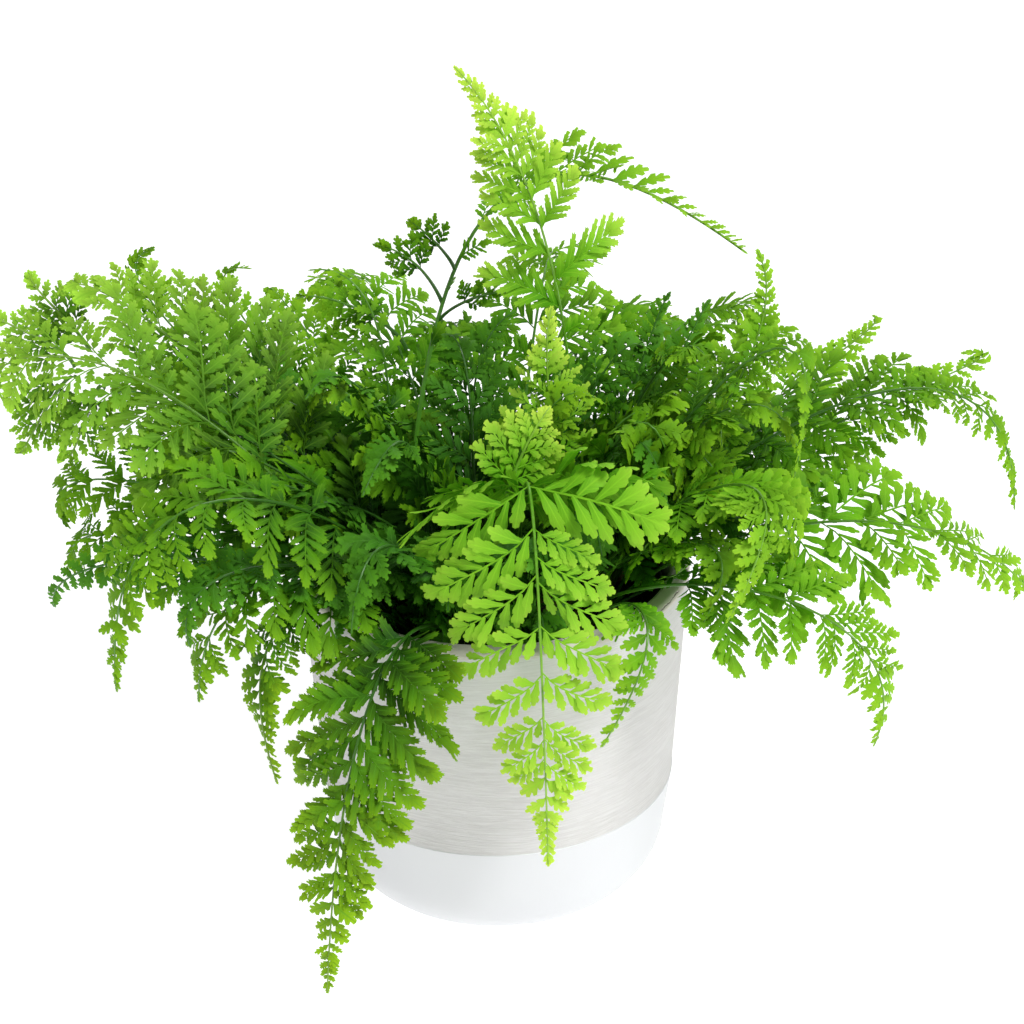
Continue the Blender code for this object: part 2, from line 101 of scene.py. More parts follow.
FRONDS = [Frond(*row) for row in (
    ("tall_1", (25, 27), (27, 14, 226), (-11, 25, 321), 78, 0.48, -90, 0, 11, Tone.BRIGHT),
    ("tall_2", (190, 38), (-14, 50, 236), (95, 30, 249), 70, 0.36, 180, -12, 11, Tone.MID),
    ("tall_3", (172, 43), (-40, 26, 196), (-68, 40, 240), 40, 0.50, -60, 0, 8, Tone.MID),
    ("tall_4", (0, 17), (22, 0, 182), (22, 0, 238), 44, 0.50, -90, 0, 8, Tone.FRESH),
    ("front_1", (250, 40), (-34, -90, 148), (-60, -134, 36), 80, 0.28, 70, 0, 11, Tone.MID),
    ("front_2", (305, 14), (12, -58, 196), (18, -121, 80), 112, 0.26, 84, 0, 11, Tone.BRIGHT),
    ("front_3", (318, 44), (50, -76, 156), (38, -96, 112), 34, 0.40, 110, 0, 8, Tone.FRESH),
    ("left_12", (236, 44), (-62, -72, 156), (-79, -86, 92), 36, 0.44, 50, 0, 9, Tone.MID),
    ("left_11", (224, 42), (-68, -66, 164), (-104, -88, 128), 84, 0.30, 40, 5, 9, Tone.MID),
    ("right_1", (2, 42), (82, 0, 190), (98, 8, 256), 42, 0.50, -90, 0, 10, Tone.FRESH),
    ("right_2", (20, 40), (102, 26, 184), (148, 40, 218), 66, 0.34, -115, 0, 9, Tone.FRESH),
    ("right_3", (10, 35), (130, 12, 190), (177, 20, 214), 64, 0.36, -130, 0, 9, Tone.FRESH),
    ("right_4", (353, 38), (120, -12, 202), (190, -32, 176), 76, 0.34, 178, -25, 10, Tone.FRESH),
    ("right_5", (335, 42), (108, -48, 178), (192, -64, 156), 100, 0.32, 165, -20, 11, Tone.BRIGHT),
    ("right_6", (322, 36), (98, -66, 164), (137, -92, 112), 66, 0.36, 150, -15, 10, Tone.FRESH),
    ("right_7", (340, 32), (84, -46, 182), (80, -100, 164), 66, 0.36, 130, 0, 9, Tone.BRIGHT),
    ("right_8", (350, 28), (100, -4, 206), (107, -44, 186), 52, 0.40, 140, 0, 8, Tone.MID),
    ("right_9", (5, 24), (64, 6, 198), (92, -34, 184), 66, 0.30, 150, 0, 9, Tone.MID),
    ("right_10", (330, 22), (54, -14, 178), (72, -44, 172), 62, 0.24, 150, 0, 8, Tone.DARK),
    ("right_11", (328, 30), (70, -44, 164), (84, -76, 148), 50, 0.34, 140, 0, 8, Tone.MID),
    ("right_12", (345, 44), (84, -40, 168), (112, -74, 150), 56, 0.30, 150, 0, 8, Tone.MID),
    ("dark_1", (110, 25), (-9, 45, 172), (8, 62, 213), 66, 0.24, -90, 0, 9, Tone.DARK),
    ("dark_2", (30, 36), (52, 28, 182), (67, 30, 232), 50, 0.34, -90, 0, 9, Tone.DARK),
    ("dark_3", (35, 43), (64, 36, 180), (86, 44, 221), 60, 0.24, -85, 0, 8, Tone.DARK),
    ("left_1", (165, 36), (-100, 16, 212), (-162, 22, 238), 104, 0.36, -35, 15, 11, Tone.BRIGHT),
    ("left_2", (186, 44), (-108, -20, 216), (-192, -24, 212), 110, 0.36, 8, 25, 11, Tone.BRIGHT),
    ("left_3", (155, 40), (-104, 42, 194), (-130, 50, 246), 72, 0.40, -90, 0, 10, Tone.FRESH),
    ("left_4", (140, 38), (-84, 62, 190), (-96, 70, 230), 46, 0.44, -85, 0, 8, Tone.FRESH),
    ("left_5", (128, 42), (-66, 74, 186), (-92, 96, 209), 66, 0.32, -60, 0, 9, Tone.MID),
    ("left_6", (195, 32), (-98, -34, 192), (-150, -34, 176), 84, 0.34, 5, 20, 10, Tone.MID),
    ("left_7", (203, 42), (-96, -48, 178), (-146, -50, 158), 76, 0.34, 10, 20, 9, Tone.MID),
    ("left_8", (212, 44), (-98, -62, 166), (-156, -64, 146), 40, 0.40, 15, 60, 9, Tone.DARK),
    ("left_9", (205, 26), (-84, -62, 194), (-134, -98, 142), 84, 0.32, 30, 10, 11, Tone.BRIGHT),
    ("left_10", (218, 34), (-74, -66, 170), (-108, -94, 156), 66, 0.34, 40, 10, 8, Tone.DARK),
    ("left_13", (178, 28), (-74, 24, 192), (-120, 30, 204), 86, 0.28, -20, 10, 9, Tone.DARK),
    ("left_14", (180, 20), (-88, 0, 196), (-142, 2, 200), 84, 0.28, 0, 10, 9, Tone.MID),
    ("centre_1", (215, 18), (-26, -14, 178), (-46, -44, 186), 74, 0.24, 40, 0, 9, Tone.DARK),
    ("centre_2", (230, 30), (-42, -46, 152), (-62, -70, 146), 66, 0.22, 50, 0, 8, Tone.DARK),
    ("centre_3", (150, 18), (-44, 6, 182), (-84, -6, 200), 80, 0.24, 10, 0, 9, Tone.DARK),
    ("centre_4", (120, 14), (-14, 28, 184), (-30, 46, 206), 72, 0.24, -80, 0, 9, Tone.DARK),
    ("centre_5", (60, 22), (42, 24, 188), (72, 24, 206), 76, 0.24, -130, 0, 9, Tone.DARK),
    ("centre_6", (270, 24), (-8, -34, 156), (-30, -58, 158), 56, 0.24, 80, 0, 8, Tone.DARK),
    ("centre_7", (200, 14), (-44, -28, 160), (-82, -48, 156), 60, 0.24, 30, 0, 8, Tone.DARK),
    ("centre_8", (345, 16), (56, -10, 168), (98, -22, 170), 70, 0.24, 165, 0, 8, Tone.DARK),
    ("centre_9", (75, 12), (28, 10, 180), (56, -2, 198), 64, 0.24, 190, 0, 8, Tone.MID),
    ("right_13", (308, 40), (62, -30, 160), (96, -60, 158), 64, 0.28, 160, 0, 8, Tone.MID),
    ("back_1", (48, 40), (78, 66, 190), (122, 108, 166), 80, 0.32, 222, 0, 9, Tone.MID),
    ("back_2", (62, 42), (54, 92, 184), (84, 152, 148), 84, 0.32, 242, 0, 10, Tone.MID),
    ("back_3", (80, 36), (18, 92, 200), (30, 168, 176), 88, 0.32, 260, 0, 10, Tone.FRESH),
    ("back_4", (96, 42), (-12, 96, 180), (-26, 158, 134), 80, 0.32, 280, 0, 10, Tone.MID),
    ("back_5", (112, 38), (-46, 90, 192), (-82, 148, 168), 84, 0.32, 300, 0, 10, Tone.FRESH),
    ("back_6", (142, 44), (-78, 58, 174), (-134, 98, 146), 78, 0.32, 325, 0, 9, Tone.MID),
    ("back_7", (26, 44), (92, 46, 172), (154, 72, 148), 76, 0.32, 205, 0, 9, Tone.MID),
    ("back_8", (84, 44), (6, 84, 158), (8, 112, 92), 66, 0.32, 265, 0, 8, Tone.DARK),
)]


def unit(vector: np.ndarray) -> np.ndarray:
    """Scale a vector to length 1."""
    return vector / np.linalg.norm(vector)


def rotation(axis: Point | np.ndarray, degrees: float) -> np.ndarray:
    """Return the 3 x 3 matrix of a turn about an axis.

    Args:
        axis: Direction of the axis, of any length.
        degrees: Angle of the turn.

    Returns:
        The rotation matrix.
    """
    axis = unit(np.array(axis, float))
    cross = np.array([[0, -axis[2], axis[1]], [axis[2], 0, -axis[0]], [-axis[1], axis[0], 0]])
    angle = math.radians(degrees)
    return np.eye(3) + math.sin(angle) * cross + (1 - math.cos(angle)) * cross @ cross


def deselect_all() -> None:
    """Leave edit mode and select nothing, so that an operator acts on its own piece only."""
    if bpy.context.object and bpy.context.object.mode != "OBJECT":
        bpy.ops.object.mode_set(mode="OBJECT")
    bpy.ops.object.select_all(action="DESELECT")


def pick(piece: bpy.types.Object) -> None:
    """Make one piece the only selected and the active one."""
    deselect_all()
    piece.select_set(True)
    bpy.context.view_layer.objects.active = piece


def settle_place(piece: bpy.types.Object) -> None:
    """Put a piece's place into its mesh, so that its object sits at the origin."""
    pick(piece)
    bpy.ops.object.transform_apply(location=True, rotation=True, scale=True)


def edit_all() -> None:
    """Enter edit mode with the whole mesh selected."""
    bpy.ops.object.mode_set(mode="EDIT")
    bpy.ops.mesh.select_all(action="SELECT")


def select_points(piece: bpy.types.Object, chosen: np.ndarray) -> None:
    """Select vertices by their numbers and enter edit mode on them.

    Args:
        piece: The object whose vertices are meant.
        chosen: Numbers of the vertices to select.
    """
    bpy.ops.object.mode_set(mode="EDIT")
    bpy.ops.mesh.select_mode(type="VERT")
    bpy.ops.mesh.select_all(action="DESELECT")
    bpy.ops.object.mode_set(mode="OBJECT")
    for number in chosen:
        piece.data.vertices[int(number)].select = True
    bpy.ops.object.mode_set(mode="EDIT")


def join_the_plant(piece: bpy.types.Object, slot: str, *nodes: str) -> None:
    """Let a finished piece ride on the body and stand for its CAD nodes."""
    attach(piece, BODY)
    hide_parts(*nodes)
    triangles = sum(len(face.vertices) - 2 for face in piece.data.polygons)
    LOG.info("%s: %d triangles, stands for %s", piece.name, triangles, ", ".join(nodes) or "itself")


class Nodes:
    """Adds nodes to one tree and wires their sockets."""

    def __init__(self, tree: bpy.types.NodeTree) -> None:
        """Remember the tree that the nodes go into."""
        self.tree = tree

    def add(self, kind: str, inputs: dict | None = None, **settings: object) -> bpy.types.Node:
        """Add one node.

        Args:
            kind: The node's type name.
            inputs: Value or output socket for each input, by name or number.
            settings: The node's own properties.

        Returns:
            The new node.
        """
        made = self.tree.nodes.new(kind)
        for name, value in settings.items():
            setattr(made, name, value)
        for name, value in (inputs or {}).items():
            if isinstance(value, bpy.types.NodeSocket):
                self.link(value, made.inputs[name])
            else:
                made.inputs[name].default_value = value
        return made

    def math(self, operation: str, first: object, second: object = 0.0) -> bpy.types.NodeSocket:
        """Combine two numbers with a Math node and return its output."""
        return self.add("ShaderNodeMath", {0: first, 1: second}, operation=operation).outputs[0]

    def mix(self, share: object, low: object, high: object) -> bpy.types.NodeSocket:
        """Mix two colours by a share and return the mixed colour."""
        return self.add("ShaderNodeMix", {0: share, 6: low, 7: high}, data_type="RGBA").outputs[2]

    def remap(self, value: object, low: float, high: float, start: float = 0.0,
              end: float = 1.0) -> bpy.types.NodeSocket:
        """Map a range of values smoothly on to another and return the result."""
        inputs = {0: value, 1: low, 2: high, 3: start, 4: end}
        node = self.add("ShaderNodeMapRange", inputs, interpolation_type="SMOOTHSTEP")
        return node.outputs[0]

    def noise(self, place: object, scale: float, detail: float = 3.0, stretch: Point = (1, 1, 1),
              rough: float = 0.55) -> bpy.types.NodeSocket:
        """Return the value of a noise pattern.

        Args:
            place: The coordinates that the pattern follows.
            scale: Waves in a metre.
            detail: Number of finer layers.
            stretch: How much finer the pattern is along each axis.
            rough: Weight of the finer layers.

        Returns:
            The pattern's value socket.
        """
        along = self.add("ShaderNodeVectorMath", {0: place, 1: stretch}, operation="MULTIPLY")
        inputs = {"Vector": along.outputs[0], "Scale": scale, "Detail": detail, "Roughness": rough}
        return self.add("ShaderNodeTexNoise", inputs).outputs[0]

    def place(self) -> bpy.types.NodeSocket:
        """Return the place on the piece, in metres."""
        return self.add("ShaderNodeTexCoord").outputs["Object"]

    def link(self, source: bpy.types.NodeSocket, target: bpy.types.NodeSocket) -> None:
        """Wire an output to an input."""
        self.tree.links.new(source, target)

    def dress(self, skin: bpy.types.Node, colour: bpy.types.NodeSocket,
              height: bpy.types.NodeSocket, depth: float, strength: float) -> None:
        """Give a Principled shader its colour and a relief.

        Args:
            skin: The Principled shader.
            colour: Output that feeds its base colour.
            height: Output that gives the relief's height.
            depth: Depth of the relief in metres.
            strength: How much of the relief shows.
        """
        relief = self.add("ShaderNodeBump", {"Height": height, "Distance": depth,
                                             "Strength": strength})
        self.link(colour, skin.inputs["Base Color"])
        self.link(relief.outputs[0], skin.inputs["Normal"])


@dataclass(frozen=True)
class BladePattern:
    """How the veins, mottles, young ends and painted shade lie on every leaflet.

    Pairs are (from, to). Widths are shares of the leaflet's own, and scales are waves in a metre.
    """

    midrib: tuple[float, float] = (0.015, 0.06)
    vein_slant: float = 1.1
    vein_pairs: float = 6.0
    vein_edge: tuple[float, float] = (0.72, 0.98)
    side_vein_share: float = 0.55
    vein_tint: float = 0.45
    mottle_scale: float = 70.0
    mottle: tuple[float, float] = (-0.1, 0.3)
    chance_share: float = 0.55
    # Painted shade: the green darkens towards the frond's base, low in the crown, and lightens
    # towards its end.
    painted_shade_span: tuple[float, float] = (0.15, 0.6)
    base_painted_shade: tuple[float, float] = (-0.25, 0.30)
    # Painted shade: each leaflet darker at its base by the pinna's stalk, where the leaflets
    # overlap, and lighter towards its end.
    outer_from: float = 0.7
    leaflet_painted_shade: tuple[float, float] = (-0.15, 0.2)
    growth_power: float = 2.4
    outer_power: float = 2.0
    outer_young: float = 0.20
    glow_saturation: float = 1.1
    glow_value: float = 1.3
    grain_scale: float = 900.0
    vein_height: float = -0.6
    grain_height: float = 0.5
    roughness: tuple[float, float] = (0.48, 0.66)


class Finishes:
    """Builds the shared shader groups once, and starts every material."""

    BLADE = BladePattern()

    def __init__(self) -> None:
        """Build the groups that more than one material uses."""
        self.leaf_group = self.make_leaf_group()
        self.mottle_group = self.make_mottle_group()

    def new_group(self, name: str, inputs: dict[str, str], outputs: dict[str, str]
                  ) -> tuple[Nodes, dict, bpy.types.Node]:
        """Start a shader node group.

        Args:
            name: Name of the group.
            inputs: Socket type for each input's name.
            outputs: Socket type for each output's name.

        Returns:
            The group's node adder, its input sockets by name and its output node.
        """
        group = bpy.data.node_groups.new(name, "ShaderNodeTree")
        for label, kind in inputs.items():
            group.interface.new_socket(label, in_out="INPUT", socket_type=kind)
        for label, kind in outputs.items():
            group.interface.new_socket(label, in_out="OUTPUT", socket_type=kind)
        nodes = Nodes(group)
        start = nodes.add("NodeGroupInput")
        end = nodes.add("NodeGroupOutput")
        return nodes, start.outputs, end

    def make_leaf_group(self) -> bpy.types.NodeTree:
        """Colour of a blade: mottled green, lighter veins, younger growth at the tips, and painted
        shade that darkens it towards the frond's base and each leaflet's base.

        Returns:
            The node group, with its colour, the light that comes through, height and roughness.
        """
        nodes, given, end = self.new_group(
            "fern_blade",
            {"Leaflet": "NodeSocketVector", "Growth": "NodeSocketVector",
             "Place": "NodeSocketVector", "Deep": "NodeSocketColor", "Body": "NodeSocketColor",
             "Young": "NodeSocketColor", "Vein": "NodeSocketColor"},
            {"Colour": "NodeSocketColor", "Glow": "NodeSocketColor", "Height": "NodeSocketFloat",
             "Roughness": "NodeSocketFloat"})
        blade, times = self.BLADE, "MULTIPLY"
        leaflet = nodes.add("ShaderNodeSeparateXYZ", {0: given["Leaflet"]}).outputs
        growth = nodes.add("ShaderNodeSeparateXYZ", {0: given["Growth"]}).outputs
        off = nodes.math("ABSOLUTE", nodes.math("SUBTRACT", leaflet[1], 0.5))
        midrib = nodes.remap(off, *blade.midrib, 1.0, 0.0)
        rows = nodes.math("SUBTRACT", leaflet[0], nodes.math(times, off, blade.vein_slant))
        waves = nodes.math("SINE", nodes.math(times, rows, 2 * math.pi * blade.vein_pairs))
        side_veins = nodes.remap(waves, *blade.vein_edge)
        veins = nodes.math("MAXIMUM", midrib,
                           nodes.math(times, side_veins, blade.side_vein_share))
        mottle = nodes.noise(given["Place"], blade.mottle_scale)
        shade = nodes.math("ADD", nodes.remap(mottle, 0.3, 0.7, *blade.mottle),
                           nodes.math(times, growth[1], blade.chance_share))
        # Painted shade: darker towards the frond's base, lighter towards its end.
        shade = nodes.math("ADD", shade, nodes.remap(growth[0], *blade.painted_shade_span,
                                                     *blade.base_painted_shade))
        # Painted shade: each leaflet darker at its base, lighter towards its end.
        shade = nodes.math("ADD", shade, nodes.remap(leaflet[0], 0.0, blade.outer_from,
                                                     *blade.leaflet_painted_shade))
        body = nodes.mix(nodes.math("MAXIMUM", shade, 0.0), given["Deep"], given["Body"])
        outer = nodes.math("POWER", leaflet[0], blade.outer_power)
        tips = nodes.math("ADD", nodes.math("POWER", growth[0], blade.growth_power),
                          nodes.math(times, outer, blade.outer_young))
        young = nodes.mix(nodes.math("MINIMUM", tips, 1.0), body, given["Young"])
        colour = nodes.mix(nodes.math(times, veins, blade.vein_tint), young, given["Vein"])
        glow = nodes.add("ShaderNodeHueSaturation", {
            "Color": colour, "Saturation": blade.glow_saturation, "Value": blade.glow_value})
        grain = nodes.noise(given["Place"], blade.grain_scale, 2.0)
        height = nodes.math("ADD", nodes.math(times, veins, blade.vein_height),
                            nodes.math(times, grain, blade.grain_height))
        rough = nodes.remap(grain, 0.2, 0.8, *blade.roughness)
        for label, socket in (("Colour", colour), ("Glow", glow.outputs[0]), ("Height", height),
                              ("Roughness", rough)):
            nodes.link(socket, end.inputs[label])
        return nodes.tree

    def make_mottle_group(self) -> bpy.types.NodeTree:
        """Patches and fine grain, for soil, fur and plastic.

        Returns:
            The node group, with its colour and height.
        """
        nodes, given, end = self.new_group(
            "natural_mottle",
            {"Place": "NodeSocketVector", "Low": "NodeSocketColor", "High": "NodeSocketColor",
             "Patch scale": "NodeSocketFloat", "Grain scale": "NodeSocketFloat"},
            {"Colour": "NodeSocketColor", "Height": "NodeSocketFloat"})
        patch, grain = (nodes.add("ShaderNodeTexNoise", {
            "Vector": given["Place"], "Scale": given[scale], "Detail": detail}).outputs[0]
            for scale, detail in (("Patch scale", 4.0), ("Grain scale", 2.0)))
        both = nodes.math("ADD", nodes.remap(patch, 0.32, 0.68, 0.0, 0.7),
                          nodes.remap(grain, 0.35, 0.75, 0.0, 0.4))
        nodes.link(nodes.mix(both, given["Low"], given["High"]), end.inputs["Colour"])
        nodes.link(both, end.inputs["Height"])
        return nodes.tree

    def start(self, name: str) -> tuple[bpy.types.Material, Nodes, bpy.types.Node]:
        """Start a material.

        Args:
            name: Name of the finish.

        Returns:
            The material, its node adder and its Principled shader.
        """
        material = bpy.data.materials.new(name)
        material.use_nodes = True
        tree = material.node_tree
        return material, Nodes(tree), tree.nodes["Principled BSDF"]


@dataclass(frozen=True)
class LeafFinish:
    """The greens of one tone of frond: shaded body, lit body, young tips and veins."""

    deep: Colour
    body: Colour
    young: Colour
    vein: Colour
    glow_share: float = 0.28
    relief: float = 0.00012
    relief_strength: float = 0.6
    gloss: float = 0.14

    def material(self, name: str, finishes: Finishes) -> bpy.types.Material:
        """Build the blade's material: a soft skin over a surface that lets light through.

        Args:
            name: Name of the material.
            finishes: The shared shader groups.

        Returns:
            The material.
        """
        material, nodes, skin = finishes.start(name)
        blade = nodes.add("ShaderNodeGroup", node_tree=finishes.leaf_group)
        nodes.link(nodes.place(), blade.inputs["Place"])
        for label in ("Leaflet", "Growth"):
            own_map = nodes.add("ShaderNodeUVMap", uv_map=label.lower())
            nodes.link(own_map.outputs[0], blade.inputs[label])
        for label, value in (("Deep", self.deep), ("Body", self.body), ("Young", self.young),
                             ("Vein", self.vein)):
            blade.inputs[label].default_value = (*value, 1.0)
        nodes.dress(skin, blade.outputs["Colour"], blade.outputs["Height"], self.relief,
                    self.relief_strength)
        nodes.link(blade.outputs["Roughness"], skin.inputs["Roughness"])
        skin.inputs["Specular IOR Level"].default_value = self.gloss
        through = nodes.add("ShaderNodeBsdfTranslucent", {"Color": blade.outputs["Glow"]})
        both = nodes.add("ShaderNodeMixShader", {0: self.glow_share, 1: skin.outputs[0],
                                                 2: through.outputs[0]})
        nodes.link(both.outputs[0], nodes.tree.nodes["Material Output"].inputs["Surface"])
        return material


@dataclass(frozen=True)
class MottledFinish:
    """A natural or moulded surface in two near colours with a fine grain."""

    low: Colour
    high: Colour
    patch_scale: float
    grain_scale: float
    roughness: float
    relief: float
    relief_strength: float = 0.7

    def material(self, name: str, finishes: Finishes) -> bpy.types.Material:
        """Build the material from the shared mottle group.

        Args:
            name: Name of the material.
            finishes: The shared shader groups.

        Returns:
            The material.
        """
        material, nodes, skin = finishes.start(name)
        mottle = nodes.add("ShaderNodeGroup", node_tree=finishes.mottle_group)
        nodes.link(nodes.place(), mottle.inputs["Place"])
        for label, value in (("Low", (*self.low, 1.0)), ("High", (*self.high, 1.0)),
                             ("Patch scale", self.patch_scale), ("Grain scale", self.grain_scale)):
            mottle.inputs[label].default_value = value
        nodes.dress(skin, mottle.outputs["Colour"], mottle.outputs["Height"], self.relief,
                    self.relief_strength)
        skin.inputs["Roughness"].default_value = self.roughness
        return material


@dataclass(frozen=True)
class StalkFinish:
    """A green stalk that turns tan where it leaves the soil."""

    green: Colour
    young: Colour
    foot: Colour = (0.16, 0.13, 0.035)
    streaked: Colour = (0.04, 0.09, 0.01)
    foot_end: float = 0.12
    young_from: float = 0.45
    streak_scale: float = 600.0
    streak_stretch: float = 0.2
    streak_share: float = 0.35
    relief: float = 0.0001
    relief_strength: float = 0.5
    roughness: float = 0.38

    def material(self, name: str, finishes: Finishes) -> bpy.types.Material:
        """Build the stalk's material, which follows its growth from foot to tip.

        Args:
            name: Name of the material.
            finishes: The shared shader groups.

        Returns:
            The material.
        """
        material, nodes, skin = finishes.start(name)
        growth = nodes.add("ShaderNodeUVMap", uv_map="growth").outputs[0]
        share = nodes.add("ShaderNodeSeparateXYZ", {0: growth}).outputs[0]
        low = nodes.mix(nodes.remap(share, 0.0, self.foot_end), (*self.foot, 1.0),
                        (*self.green, 1.0))
        colour = nodes.mix(nodes.remap(share, self.young_from, 1.0), low, (*self.young, 1.0))
        streak = nodes.noise(nodes.place(), self.streak_scale, 3.0, (1, 1, self.streak_stretch))
        streaked = nodes.mix(nodes.remap(streak, 0.35, 0.7, 0.0, self.streak_share), colour,
                             (*self.streaked, 1.0))
        nodes.dress(skin, streaked, streak, self.relief, self.relief_strength)
        skin.inputs["Roughness"].default_value = self.roughness
        return material


@dataclass(frozen=True)
class ClayFinish:
    """The pot's combed upper part: pale stoneware with fine level strokes and a worn rim.

    Scales are waves in a metre, stretches how much finer the strokes are from top to bottom.
    Heights and widths of the rim and its crack are in mm, and the crack's ends in degrees.
    """

    light: Colour = (0.755, 0.745, 0.74)
    dark: Colour = (0.62, 0.605, 0.595)
    rim: Colour = (0.76, 0.69, 0.62)
    crack: Colour = (0.16, 0.12, 0.09)
    wander_scale: float = 16.0
    wander: float = 0.006
    coarse_scale: float = 34.0
    coarse_stretch: float = 44.0
    coarse_share: float = 0.45
    fine_scale: float = 100.0
    fine_stretch: float = 22.0
    fine_share: float = 0.55
    cloud_scale: float = 22.0
    least_cloud: float = 0.45
    relief: float = 0.00025
    relief_strength: float = 0.6
    roughness: float = 0.78
    rim_start: float = 134.5
    rim_share: float = 0.75
    crack_height: float = 136.0
    crack_from: float = -37.0
    crack_to: float = -21.0
    crack_fade: float = 0.04
    crack_inside: float = 72.6
    crack_width: tuple[float, float] = (0.08, 0.22)
    crack_wander: float = 3.2
    crack_wander_scale: float = 160.0
    crack_share: float = 0.85
    crack_depth: float = 4.0

    def strokes(self, nodes: Nodes, place: bpy.types.NodeSocket) -> bpy.types.NodeSocket:
        """Comb strokes, coarse and fine, that wander a little up and down.

        Args:
            nodes: The material's node adder.
            place: The surface's place.

        Returns:
            A socket that is 1 on a stroke and 0 between strokes.
        """
        rise = nodes.math("MULTIPLY", nodes.noise(place, self.wander_scale, 2.0), self.wander)
        shift = nodes.add("ShaderNodeCombineXYZ", {2: rise})
        moved = nodes.add("ShaderNodeVectorMath", {0: place, 1: shift.outputs[0]},
                          operation="ADD").outputs[0]
        coarse = nodes.noise(moved, self.coarse_scale, 4.0, (1, 1, self.coarse_stretch), 0.62)
        fine = nodes.noise(moved, self.fine_scale, 3.0, (1, 1, self.fine_stretch), 0.60)
        return nodes.math("ADD", nodes.remap(coarse, 0.34, 0.66, 0.0, self.coarse_share),
                          nodes.remap(fine, 0.40, 0.60, 0.0, self.fine_share))

    def material(self, name: str, finishes: Finishes) -> bpy.types.Material:
        """Build the combed clay: strokes and a crack in colour and relief, and a worn rim.

        Args:
            name: Name of the material.
            finishes: The shared shader groups.

        Returns:
            The material.
        """
        material, nodes, skin = finishes.start(name)
        place = nodes.place()
        strokes = self.strokes(nodes, place)
        clouds = nodes.noise(place, self.cloud_scale, 4.0)
        tone = nodes.math("MULTIPLY", nodes.math("SUBTRACT", 1.0, strokes),
                          nodes.remap(clouds, 0.25, 0.75, self.least_cloud, 1.0))
        clay = nodes.mix(tone, (*self.light, 1.0), (*self.dark, 1.0))
        axes = nodes.add("ShaderNodeSeparateXYZ", {0: place}).outputs
        rim = nodes.remap(axes[2], (self.rim_start - 1.0) * MM, (self.rim_start + 0.8) * MM)
        worn = nodes.mix(nodes.math("MULTIPLY", rim, self.rim_share), clay, (*self.rim, 1.0))
        cracked = self.crack_mask(nodes, place, axes)
        worn = nodes.mix(nodes.math("MULTIPLY", cracked, self.crack_share), worn,
                         (*self.crack, 1.0))
        height = nodes.math("SUBTRACT", strokes,
                            nodes.math("MULTIPLY", cracked, self.crack_depth))
        nodes.dress(skin, worn, height, self.relief, self.relief_strength)
        skin.inputs["Roughness"].default_value = self.roughness
        return material

    def crack_mask(self, nodes: Nodes, place: bpy.types.NodeSocket,
                   axes: bpy.types.bpy_prop_collection) -> bpy.types.NodeSocket:
        """Mask of a hairline crack that wanders along the outer edge of the rim.

        Args:
            nodes: The material's node adder.
            place: The surface's place.
            axes: The place's three coordinates.

        Returns:
            A socket that is 1 in the crack and 0 beside it.
        """
        wander = nodes.math("MULTIPLY", nodes.math(
            "SUBTRACT", nodes.noise(place, self.crack_wander_scale), 0.5), self.crack_wander * MM)
        off = nodes.math("ABSOLUTE", nodes.math("SUBTRACT", nodes.math(
            "SUBTRACT", axes[2], wander), self.crack_height * MM))
        line = nodes.remap(off, *(width * MM for width in self.crack_width), 1.0, 0.0)
        azimuth = nodes.math("ARCTAN2", axes[1], axes[0])
        start, end = math.radians(self.crack_from), math.radians(self.crack_to)
        span = nodes.math("MULTIPLY", nodes.remap(azimuth, start, start + self.crack_fade),
                          nodes.remap(azimuth, end - self.crack_fade, end, 1.0, 0.0))
        radius = nodes.math("SQRT", nodes.math("ADD", nodes.math("POWER", axes[0], 2.0),
                                               nodes.math("POWER", axes[1], 2.0)))
        outer = nodes.remap(radius, self.crack_inside * MM, (self.crack_inside + 0.3) * MM)
        return nodes.math("MULTIPLY", nodes.math("MULTIPLY", line, span), outer)


@dataclass(frozen=True)
class BandFinish:
    """The smooth matt white glaze on the pot's foot."""

    white: Colour = (0.760, 0.770, 0.788)
    shade: Colour = (0.740, 0.750, 0.772)
    cloud_scale: float = 14.0
    peel_scale: float = 260.0
    relief: float = 0.00012
    relief_strength: float = 0.4
    roughness: float = 0.45

    def material(self, name: str, finishes: Finishes) -> bpy.types.Material:
        """Build the glaze, with faint clouds and a low orange-peel relief.

        Args:
            name: Name of the material.
            finishes: The shared shader groups.

        Returns:
            The material.
        """
        material, nodes, skin = finishes.start(name)
        place = nodes.place()
        clouds = nodes.remap(nodes.noise(place, self.cloud_scale), 0.3, 0.7)
        peel = nodes.noise(place, self.peel_scale, 2.0)
        glaze = nodes.mix(clouds, (*self.white, 1.0), (*self.shade, 1.0))
        nodes.dress(skin, glaze, peel, self.relief, self.relief_strength)
        skin.inputs["Roughness"].default_value = self.roughness
        return material


def arc(centre: tuple[float, float], radius: float, start: float, end: float,
        steps: int) -> list[tuple[float, float]]:
    """Points of a quarter round in a profile.

    Args:
        centre: Radius and height of the round's centre.
        radius: Radius of the round.
        start: First angle in degrees.
        end: Last angle in degrees.
        steps: Number of straight steps.

    Returns:
        The points as (radius, height).
    """
    angles = np.radians(np.linspace(start, end, steps + 1))
    return [(centre[0] + radius * math.cos(a), centre[1] + radius * math.sin(a)) for a in angles]


